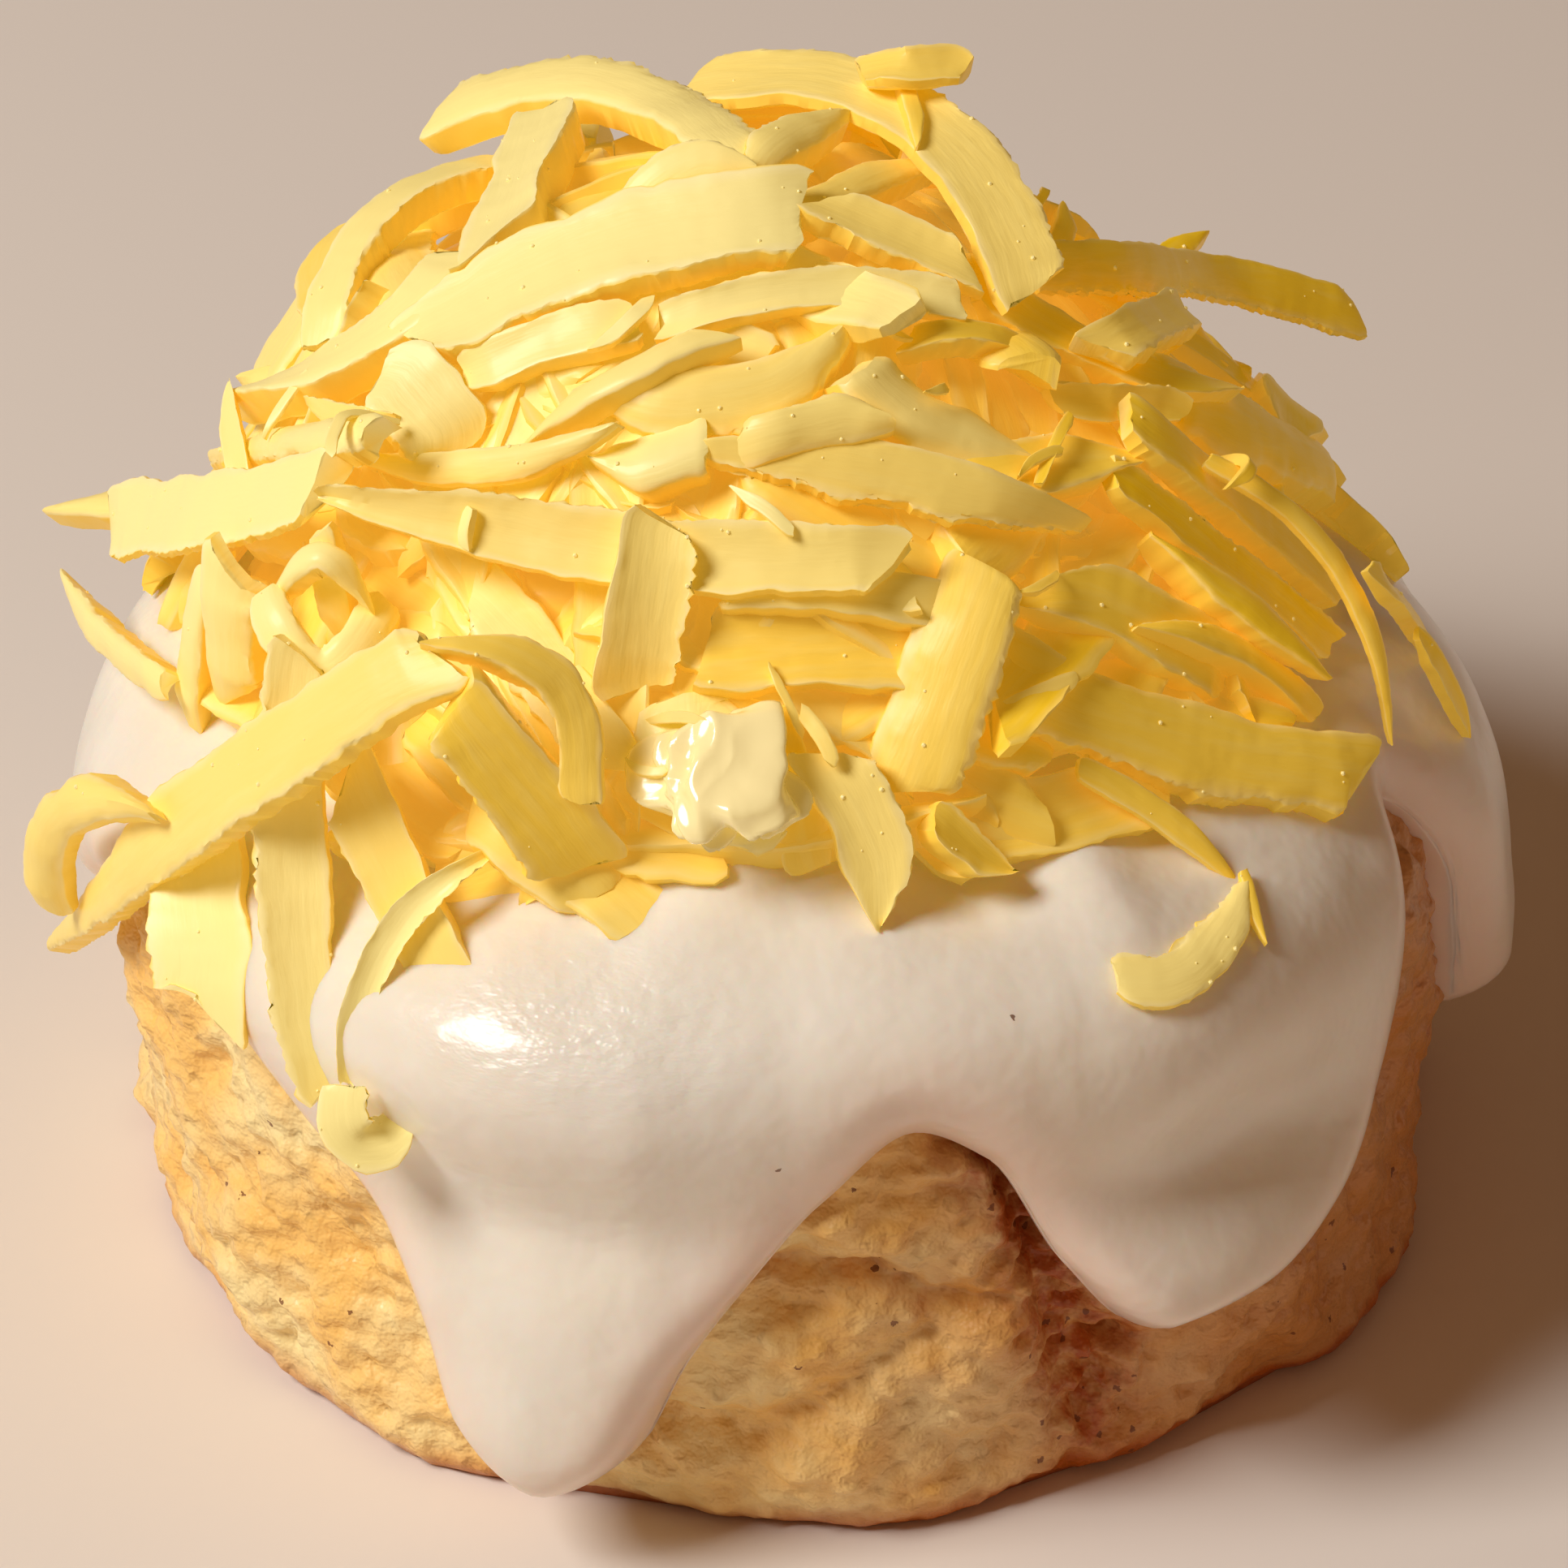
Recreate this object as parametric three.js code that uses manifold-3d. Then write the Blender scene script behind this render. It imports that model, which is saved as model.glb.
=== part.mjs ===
// A frosted cheese roll: a squat soft bun, thick white icing that runs down its sides in drips,
// and a tall heap of coarsely grated cheese on top.
// Millimetres, +Z up. The origin is the centre of the flat base, and the front faces -Y.
// Azimuths are in degrees from the front, positive towards the right (+X).
import * as THREE from "three";
import { mergeVertices } from "three/addons/utils/BufferGeometryUtils.js";
import Module from "manifold-3d";

const wasm = await Module();
wasm.setup();

// ---------------------------------------------------------------- driving dimensions

const BUN = {
  radius: 40.3, // at the shoulder, where the side turns into the crown
  height: 44,
  shoulderHeight: 24,
  crownPower: 2.25, // superellipse exponent: 2 is an ellipse, more is squarer
  tuckPower: 2.6, // how late the side draws in towards the foot
  lip: 1.8, // radius of the rounded bottom edge
};
const ICING = {
  thickness: 3.5,
  bead: 3.2, // how far in from its edge the icing reaches its full thickness
  sunk: 3, // how far inside the bun its hidden edge is closed
  runSwell: 2.2, // extra thickness down the middle of the runs
};
const HEAP = {
  x: -3, // its axis, a little left of the bun's
  y: 0,
  radius: 39, // of the outer form, a paraboloid, where it passes into the icing
  foot: 33,
  rise: 41,
  loose: 5, // depth of the loose shreds over the packed core
  facet: 0.4, // what is added to the core, so that its flat facets lie round the true form
};
const SHRED = {
  thickness: 1.6,
  bedding: 0.6, // how far it is pressed into what lies below
  tip: 0.4, // share of the length over which an end tapers
  step: 9, // length of its straight stretches
  overhang: 0.5, // steepest slope, seen from the seat, of an end that sticks out
  stiffness: 0.35, // 0 drapes over what lies below, 1 stays straight
  facing: 0.5, // how far its flat side turns from the heap's slope towards the seat
};
// A seat at the table, looking at the roll's axis from above.
const SEAT = { distance: 450, elevation: 36, height: 26 };
const CLEARANCE = 0.3; // between two solids that touch

const COLUMNS = 72; // facets round the bun and the icing
const FULL_TURN = 2 * Math.PI;
const { degToRad: radians, radToDeg: degrees, lerp, clamp, euclideanModulo } = THREE.MathUtils;

// ---------------------------------------------------------------- bun

// Slow swellings that keep the bun from being a turned shape: share of the radius, waves, phase.
const GIRTH_WAVES = [
  { share: 0.012, waves: 2, phase: 0.6 },
  { share: 0.010, waves: 3, phase: 2.1 },
  { share: 0.006, waves: 5, phase: 0.9 },
];
// Creases in the side, each a run of [azimuth, height] with its width and depth.
const CREASES = [
  { width: 2.0, depth: 2.2, run: [[16, 30], [19.5, 22], [22.5, 17], [24, 12], [29, 6]] }, // the roll's seam
  { width: 1.3, depth: 1.1, run: [[-4, 18.5], [6.5, 18.5], [16, 15.5]] },
  { width: 1.5, depth: 0.9, run: [[-9, 8], [-1, 7.5], [5, 13], [12, 16]] },
  { width: 2.2, depth: 1.0, run: [[-58, 20], [-47, 16], [-40, 13]] },
];
// The outline of the bun's foot: [azimuth, radius].
const FOOT_RADIUS = [
  [-180, 38.6], [-135, 39], [-90, 40], [-56, 39.8], [-26, 40], [-7, 39], [11, 40], [29, 39.2],
  [48, 40.2], [67, 40.8], [112, 39.8], [150, 38.6],
];
const LUMPS = [
  { height: 0.45, round: 7, up: 0.16, phase: 0.4 },
  { height: 0.3, round: 11, up: -0.24, phase: 1.9 },
  { height: 0.25, round: 17, up: 0.33, phase: 4.1 },
];

function girth(azimuth) {
  return GIRTH_WAVES.reduce((sum, w) => sum + w.share * Math.cos(w.waves * azimuth - w.phase), 1);
}

// How far a point of the unrolled side, in millimetres, lies from a run of straight stretches.
function distanceToRun(across, up, run) {
  let nearest = Infinity;
  for (let i = 1; i < run.length; i++) {
    const [ax, ay] = [radians(run[i - 1][0]) * BUN.radius, run[i - 1][1]];
    const [bx, by] = [radians(run[i][0]) * BUN.radius, run[i][1]];
    const [dx, dy] = [bx - ax, by - ay];
    const share = clamp(((across - ax) * dx + (up - ay) * dy) / (dx * dx + dy * dy), 0, 1);
    nearest = Math.min(nearest, Math.hypot(across - ax - share * dx, up - ay - share * dy));
  }
  return nearest;
}

function bunRelief(azimuth, z) {
  const across = azimuth * BUN.radius;
  let relief = 0;
  for (const crease of CREASES) {
    const off = distanceToRun(across, z, crease.run) / crease.width;
    relief -= crease.depth * Math.exp(-off * off);
  }
  for (const lump of LUMPS) {
    relief += lump.height * Math.sin(lump.round * azimuth + lump.up * z + lump.phase);
  }
  return relief;
}

// A smooth closed curve over azimuth that passes through a table of [degrees, value] without overshoot.
function roundCurve(table, azimuth) {
  const count = table.length;
  const first = table[0][0];
  const turn = euclideanModulo(degrees(azimuth) - first, 360) + first;
  const at = (i) => {
    const [place, value] = table[(i + count) % count];
    return [place + 360 * Math.floor(i / count), value];
  };
  let i = 0;
  while (i < count - 1 && at(i + 1)[0] <= turn) i++;
  const rise = (j) => (at(j + 1)[1] - at(j)[1]) / (at(j + 1)[0] - at(j)[0]);
  const slope = (j) => {
    const [before, after] = [rise(j - 1), rise(j)];
    return before * after <= 0 ? 0 : (2 * before * after) / (before + after);
  };
  const [start, end] = [at(i), at(i + 1)];
  const span = end[0] - start[0];
  const t = (turn - start[0]) / span;
  const [t2, t3] = [t * t, t * t * t];
  return (
    (2 * t3 - 3 * t2 + 1) * start[1] + (t3 - 2 * t2 + t) * span * slope(i) +
    (3 * t2 - 2 * t3) * end[1] + (t3 - t2) * span * slope(i + 1)
  );
}

// Polar 0 is the top of the bun, QUARTER its shoulder and FOOT_POLAR its foot.
const QUARTER = Math.PI / 2;
const SIDE_SPAN = 1;
const FOOT_POLAR = QUARTER + SIDE_SPAN;

function profile(azimuth, polar) {
  const shoulder = BUN.radius * girth(azimuth);
  if (polar <= QUARTER) {
    const crown = BUN.height - BUN.shoulderHeight;
    return [
      shoulder * Math.sin(polar) ** (2 / BUN.crownPower),
      BUN.shoulderHeight + crown * Math.max(0, Math.cos(polar)) ** (2 / BUN.crownPower),
    ];
  }
  const down = (polar - QUARTER) / SIDE_SPAN;
  const tuck = (shoulder - roundCurve(FOOT_RADIUS, azimuth)) * down ** BUN.tuckPower;
  const intoLip = Math.max(0, 1 - ((1 - down) * BUN.shoulderHeight) / BUN.lip);
  const rounding = BUN.lip * (1 - Math.sqrt(1 - Math.min(1, intoLip) ** 2));
  return [shoulder - tuck - rounding, BUN.shoulderHeight * (1 - down)];
}

function polarAtHeight(z) {
  if (z >= BUN.shoulderHeight) {
    const share = (z - BUN.shoulderHeight) / (BUN.height - BUN.shoulderHeight);
    return Math.acos(Math.min(1, share) ** (BUN.crownPower / 2));
  }
  return QUARTER + SIDE_SPAN * (1 - z / BUN.shoulderHeight);
}

// A point of the bun's skin, pushed out along the smooth normal.
function bunPoint(azimuth, polar, push = 0) {
  const place = (a, p) => {
    const [r, z] = profile(a, p);
    return new THREE.Vector3(r * Math.sin(a), -r * Math.cos(a), z);
  };
  const at = place(azimuth, polar);
  const step = 1e-3;
  if (polar < 2 * step) return at.add(new THREE.Vector3(0, 0, push));
  const down = place(azimuth, Math.min(polar + step, FOOT_POLAR)).sub(place(azimuth, polar - step));
  const round = place(azimuth + step, polar).sub(place(azimuth - step, polar));
  return at.addScaledVector(down.cross(round).normalize(), push);
}

// A closed solid from rings that run from the top, down the outside, to the bottom. Each end is
// closed by a fan, round a point of its own if one is given.
function ringSolid(rings, top, bottom) {
  const columns = rings[0].length;
  const points = [...rings.flat(), ...[top, bottom].filter(Boolean)];
  const faces = [];
  const at = (ring, column) => ring * columns + (column % columns);
  for (let r = 1; r < rings.length; r++) {
    for (let c = 0; c < columns; c++) {
      faces.push(at(r - 1, c), at(r, c), at(r, c + 1), at(r - 1, c), at(r, c + 1), at(r - 1, c + 1));
    }
  }
  const last = rings.length - 1;
  const bottomPoint = bottom ? points.length - 1 : at(last, 0);
  const topPoint = top ? rings.length * columns : at(0, 0);
  for (let c = 0; c < columns; c++) {
    faces.push(topPoint, at(0, c), at(0, c + 1));
    faces.push(at(last, c), bottomPoint, at(last, c + 1));
  }
  return solid(points, faces);
}

function solid(points, faces) {
  const geometry = new THREE.BufferGeometry().setFromPoints(points).setIndex(faces);
  const merged = mergeVertices(geometry, 1e-4);
  return new wasm.Manifold(
    new wasm.Mesh({
      numProp: 3,
      vertProperties: merged.attributes.position.array,
      triVerts: new Uint32Array(merged.index.array),
    }),
  );
}

function columnAzimuths() {
  return Array.from({ length: COLUMNS }, (_, c) => (c / COLUMNS) * FULL_TURN - Math.PI);
}

const CROWN_RINGS = 3;
const SIDE_RINGS = 10;
const SIDE_TOP = 31; // the side's rings start a little over the shoulder, where the icing's edge is highest
const LOWEST_RING = 1.1;

function bunSolid(skin = 0) {
  const sideStart = polarAtHeight(SIDE_TOP);
  const polars = [
    ...Array.from({ length: CROWN_RINGS }, (_, i) => (sideStart * (i + 1)) / (CROWN_RINGS + 1)),
    ...Array.from({ length: SIDE_RINGS }, (_, i) =>
      polarAtHeight(lerp(SIDE_TOP, LOWEST_RING, i / (SIDE_RINGS - 1))),
    ),
  ];
  const rings = polars.map((polar) =>
    columnAzimuths().map((azimuth) => {
      const z = profile(azimuth, polar)[1];
      return bunPoint(azimuth, polar, bunRelief(azimuth, z) + skin);
    }),
  );
  const foot = columnAzimuths().map((azimuth) => {
    const reach = profile(azimuth, FOOT_POLAR)[0] + skin;
    return new THREE.Vector3(reach * Math.sin(azimuth), -reach * Math.cos(azimuth), -skin);
  });
  const top = new THREE.Vector3(0, 0, BUN.height + skin + bunRelief(0, BUN.height));
  return ringSolid([...rings, foot], top, new THREE.Vector3(0, 0, -skin));
}

// ---------------------------------------------------------------- icing

// How low the icing's edge hangs round the bun: [azimuth, height]. The low ones are the runs.
const ICING_EDGE = [
  [-180, 15], [-163, 24], [-148, 27], [-130, 11], [-117, 25], [-104, 24], [-90, 19], [-76, 26],
  [-60, 29], [-50, 27], [-41, 23], [-35.5, 20], [-30.5, 14.5], [-26.5, 8.8], [-18.5, 4.4], [-11.5, 8],
  [-7.5, 14.5], [-3, 20], [3, 26], [10.5, 30], [16.5, 28], [22.5, 20], [29, 14.4], [37.5, 14.6],
  [48, 16.8], [56.5, 22], [62, 28.5], [69.5, 33.5], [76, 27], [82, 13.5], [90, 10.4], [98, 14],
  [108, 26], [122, 28], [139, 8], [155, 25],
];

// Where the icing bulges, over the shoulder and at the foot of each run, and where it sinks between:
// [azimuth, height, reach round the bun, reach up and down, extra thickness].
const ICING_SWELLS = [
  [-19, 9.5, 8, 5, 2],
  [-19, 23.5, 13, 4.6, -3.2],
  [-22, 31.5, 16, 3.6, 3],
  [4, 27, 7, 4, -1.6],
  [8, 34, 9, 3, 1.4],
  [33, 18, 8, 4, 1.6],
  [36, 25, 13, 3.8, -2.8],
  [30, 32.5, 13, 3.5, 2.2],
  [90, 16, 6, 6, 0.8],
];

const EDGE_STEPS = 720;
const EDGE_POINTS = Array.from({ length: EDGE_STEPS }, (_, i) => {
  const azimuth = (i / EDGE_STEPS) * FULL_TURN - Math.PI;
  return bunPoint(azimuth, polarAtHeight(roundCurve(ICING_EDGE, azimuth)));
});

function distanceToEdge(point) {
  return Math.sqrt(EDGE_POINTS.reduce((least, p) => Math.min(least, p.distanceToSquared(point)), Infinity));
}

const TOP_RINGS = 3;
const HEM_RINGS = 6;
const HEM_START = radians(44); // from here outwards the rings follow the edge
const CROWDING = 1.8; // they gather towards the edge, where the bead is round

// The icing's outside, grown by a skin and closed inside the bun.
function icingBlock(skin = 0) {
  const edgePolar = (azimuth) => polarAtHeight(roundCurve(ICING_EDGE, azimuth));
  const ring = (polarOf) =>
    columnAzimuths().map((azimuth) => {
      const polar = polarOf(azimuth);
      return bunPoint(azimuth, polar, icingThickness(azimuth, bunPoint(azimuth, polar)) + skin);
    });
  const rings = [];
  for (let k = 1; k <= TOP_RINGS; k++) rings.push(ring(() => (HEM_START * k) / TOP_RINGS));
  for (let k = 1; k <= HEM_RINGS; k++) {
    const share = 1 - (1 - k / HEM_RINGS) ** CROWDING;
    rings.push(ring((azimuth) => lerp(HEM_START, edgePolar(azimuth), share)));
  }
  const sunk = columnAzimuths().map((azimuth) => bunPoint(azimuth, edgePolar(azimuth), -ICING.sunk));
  const top = new THREE.Vector3(0, 0, BUN.height + ICING.thickness + skin);
  return ringSolid([...rings, sunk], top, new THREE.Vector3(0, 0, BUN.shoulderHeight / 2));
}

function icingThickness(azimuth, surface) {
  const inward = Math.min(1, distanceToEdge(surface) / ICING.bead);
  const edgeHeight = roundCurve(ICING_EDGE, azimuth);
  const run = clamp((BUN.shoulderHeight - edgeHeight) / BUN.shoulderHeight, 0, 1);
  const low = clamp((BUN.height - surface.z) / (BUN.height - BUN.shoulderHeight), 0, 1);
  const even = ICING.thickness + ICING.runSwell * run * low;
  const full = ICING_SWELLS.reduce((sum, swell) => sum + swelling(swell, azimuth, surface.z), even);
  return full * Math.sqrt(1 - (1 - inward) ** 2);
}

function swelling([middle, height, around, up, lift], azimuth, z) {
  const turn = Math.atan2(Math.sin(azimuth - radians(middle)), Math.cos(azimuth - radians(middle)));
  return lift * Math.exp(-(((turn * BUN.radius) / around) ** 2) - ((z - height) / up) ** 2);
}

// ---------------------------------------------------------------- heap

// The outer form of the heap, and its outward direction.
function moundHeight(x, y) {
  const [dx, dy] = [x - HEAP.x, y - HEAP.y];
  return HEAP.foot + HEAP.rise * (1 - (dx * dx + dy * dy) / HEAP.radius ** 2);
}

function moundNormal(x, y) {
  const fall = (2 * HEAP.rise) / HEAP.radius ** 2;
  return new THREE.Vector3(fall * (x - HEAP.x), fall * (y - HEAP.y), 1).normalize();
}

function icingTop(x, y) {
  const reach = Math.hypot(x, y) / (BUN.radius * girth(Math.atan2(x, -y)) + ICING.thickness);
  const crown = BUN.height - BUN.shoulderHeight + ICING.thickness;
  return BUN.shoulderHeight + crown * (1 - Math.min(1, reach) ** BUN.crownPower) ** (1 / BUN.crownPower);
}

// The uppermost height of all that has been laid so far, over a square grid in plan.
class Ground {
  static reach = 52;
  static cell = 0.5;
  static size = (2 * Ground.reach) / Ground.cell;

  constructor() {
    const icingReach = BUN.radius + ICING.thickness;
    this.heights = Array.from({ length: Ground.size ** 2 }, (_, i) => {
      const x = (Math.floor(i / Ground.size) + 0.5) * Ground.cell - Ground.reach;
      const y = ((i % Ground.size) + 0.5) * Ground.cell - Ground.reach;
      if (Math.hypot(x, y) > icingReach) return -Infinity;
      return Math.max(icingTop(x, y) + CLEARANCE, moundHeight(x, y) - HEAP.loose);
    });
  }

  index(x, y) {
    const column = Math.floor((x + Ground.reach) / Ground.cell);
    const row = Math.floor((y + Ground.reach) / Ground.cell);
    const inside = Math.min(column, row) >= 0 && Math.max(column, row) < Ground.size;
    return inside ? column * Ground.size + row : -1;
  }

  height(x, y) {
    return this.heights[this.index(x, y)] ?? -Infinity;
  }

  raise({ x, y, z }) {
    const i = this.index(x, y);
    if (i >= 0) this.heights[i] = Math.max(this.heights[i], z);
  }
}

// A seat at some azimuth round the roll. Sights are given in millimetres right of and above the
// point looked at, depths in millimetres away from the seat.
class Seat {
  static nearest = SEAT.distance - 70;
  static farthest = SEAT.distance + 60;
  static stride = 0.5;

  constructor(azimuth) {
    const [turn, tilt] = [radians(azimuth), radians(SEAT.elevation)];
    this.right = new THREE.Vector3(Math.cos(turn), Math.sin(turn), 0);
    this.forward = new THREE.Vector3(
      -Math.sin(turn) * Math.cos(tilt), Math.cos(turn) * Math.cos(tilt), -Math.sin(tilt),
    );
    this.up = this.right.clone().cross(this.forward);
    this.eye = new THREE.Vector3(0, 0, SEAT.height).addScaledVector(this.forward, -SEAT.distance);
  }

  point([across, above], depth) {
    return this.eye
      .clone()
      .addScaledVector(this.forward, depth)
      .addScaledVector(this.right, (across * depth) / SEAT.distance)
      .addScaledVector(this.up, (above * depth) / SEAT.distance);
  }

  depthOf(sight, ground) {
    for (let depth = Seat.nearest; depth < Seat.farthest; depth += Seat.stride) {
      const at = this.point(sight, depth);
      if (at.z <= ground.height(at.x, at.y)) return depth;
    }
    return Infinity;
  }
}

// The greatest convex row of depths that nowhere exceeds the given one: a strip pulled taut. Past
// what it rests on it goes on straight, but no steeper than the given slope for each step.
function taut(depths, steepest) {
  const hull = [];
  depths.forEach((depth, i) => {
    if (depth === Infinity) return;
    const sags = () => {
      const [[ai, ad], [bi, bd]] = hull.slice(-2);
      return (bi - ai) * (depth - ad) - (bd - ad) * (i - ai) <= 0;
    };
    while (hull.length > 1 && sags()) hull.pop();
    hull.push([i, depth]);
  });
  if (hull.length === 0) return depths.map(() => SEAT.distance);
  const slope = (k) => (hull[k + 1][1] - hull[k][1]) / (hull[k + 1][0] - hull[k][0]);
  const overhang = (k) => (hull.length < 2 ? 0 : clamp(slope(k), -steepest, steepest));
  const [first, last] = [hull[0], hull.at(-1)];
  return depths.map((_, i) => {
    if (i <= first[0]) return first[1] + overhang(0) * (i - first[0]);
    if (i >= last[0]) return last[1] + overhang(hull.length - 2) * (i - last[0]);
    const k = hull.findIndex(([at]) => at > i) - 1;
    return hull[k][1] + slope(k) * (i - hull[k][0]);
  });
}

// The straight row that touches a convex row from below at its middle.
function straightUnder(row) {
  const last = row.length - 1;
  const slope = (row[last] - row[0]) / last;
  const gap = Math.max(...row.map((depth, i) => row[0] + slope * i - depth));
  return row.map((_, i) => row[0] + slope * i - gap);
}

const LAYING_STEPS = 12;

// Lays one shred as it is seen from a seat. It rests on the ground, and then is part of it.
// A shred is [from, from, to, to, bow, width, first tip, last tip]: two sights, how far the middle
// bends to the left of the line between them, its width and how broad its two ends are.
function lay(shred, seat, ground) {
  const [x0, y0, x1, y1, bow, width, ...tips] = shred;
  const length = Math.hypot(x1 - x0, y1 - y0);
  const left = [(y0 - y1) / length, (x1 - x0) / length];
  const sight = (t, aside) => {
    const bend = 4 * t * (1 - t) * bow + aside;
    return [lerp(x0, x1, t) + left[0] * bend, lerp(y0, y1, t) + left[1] * bend];
  };
  const shares = Array.from({ length: LAYING_STEPS + 1 }, (_, i) => i / LAYING_STEPS);
  const clear = shares.map((t) =>
    Math.min(...[-0.3, 0, 0.3].map((side) => seat.depthOf(sight(t, side * width), ground))),
  );
  const draped = taut(clear, (SHRED.overhang * length) / LAYING_STEPS);
  const straight = straightUnder(draped);
  const spine = shares.map((t, i) =>
    seat.point(
      sight(t, 0),
      lerp(draped[i], straight[i], SHRED.stiffness) - SHRED.thickness / 2 + SHRED.bedding,
    ),
  );
  const laid = shares.map((t, i) => {
    const at = spine[i];
    const along = spine[Math.min(i + 1, LAYING_STEPS)].clone().sub(spine[Math.max(i - 1, 0)]).normalize();
    const facing = seat.eye.clone().sub(at).normalize();
    const out = moundNormal(at.x, at.y).lerp(facing, SHRED.facing);
    out.addScaledVector(along, -out.dot(along)).normalize();
    const [first, last] = tips.map((tip, end) => {
      const fromEnd = end === 0 ? t : 1 - t;
      return lerp(tip, 1, Math.min(1, fromEnd / SHRED.tip));
    });
    return { at, out, across: along.clone().cross(out), half: (width / 2) * Math.min(first, last) };
  });
  for (let i = 1; i < laid.length; i++) coverGround(laid[i - 1], laid[i], ground);
  return laid;
}

function coverGround(start, end, ground) {
  const steps = Math.ceil(start.at.distanceTo(end.at) / Ground.cell) + 1;
  for (let i = 0; i <= steps; i++) {
    const t = i / steps;
    const at = start.at.clone().lerp(end.at, t).addScaledVector(start.out, SHRED.thickness / 2);
    const half = lerp(start.half, end.half, t);
    for (let side = -half; side <= half; side += Ground.cell * 0.8) {
      ground.raise(at.clone().addScaledVector(start.across, side));
    }
  }
}

// A laid shred as a solid strip, in fewer steps than it was laid in.
function shredSolid(laid) {
  const length = laid[0].at.distanceTo(laid.at(-1).at);
  const steps = clamp(Math.round(length / SHRED.step), 2, 4);
  const rings = Array.from({ length: steps + 1 }, (_, k) => {
    const { at, out, across, half } = laid[Math.round((k / steps) * LAYING_STEPS)];
    const corner = (side, face) =>
      at.clone().addScaledVector(across, side * half).addScaledVector(out, (face * SHRED.thickness) / 2);
    return [corner(1, 1), corner(-1, 1), corner(-1, -1), corner(1, -1)];
  });
  return ringSolid(rings);
}

const POINTED = 0.1;
const TORN = 0.6;
const BLUNT = 0.9;
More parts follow.
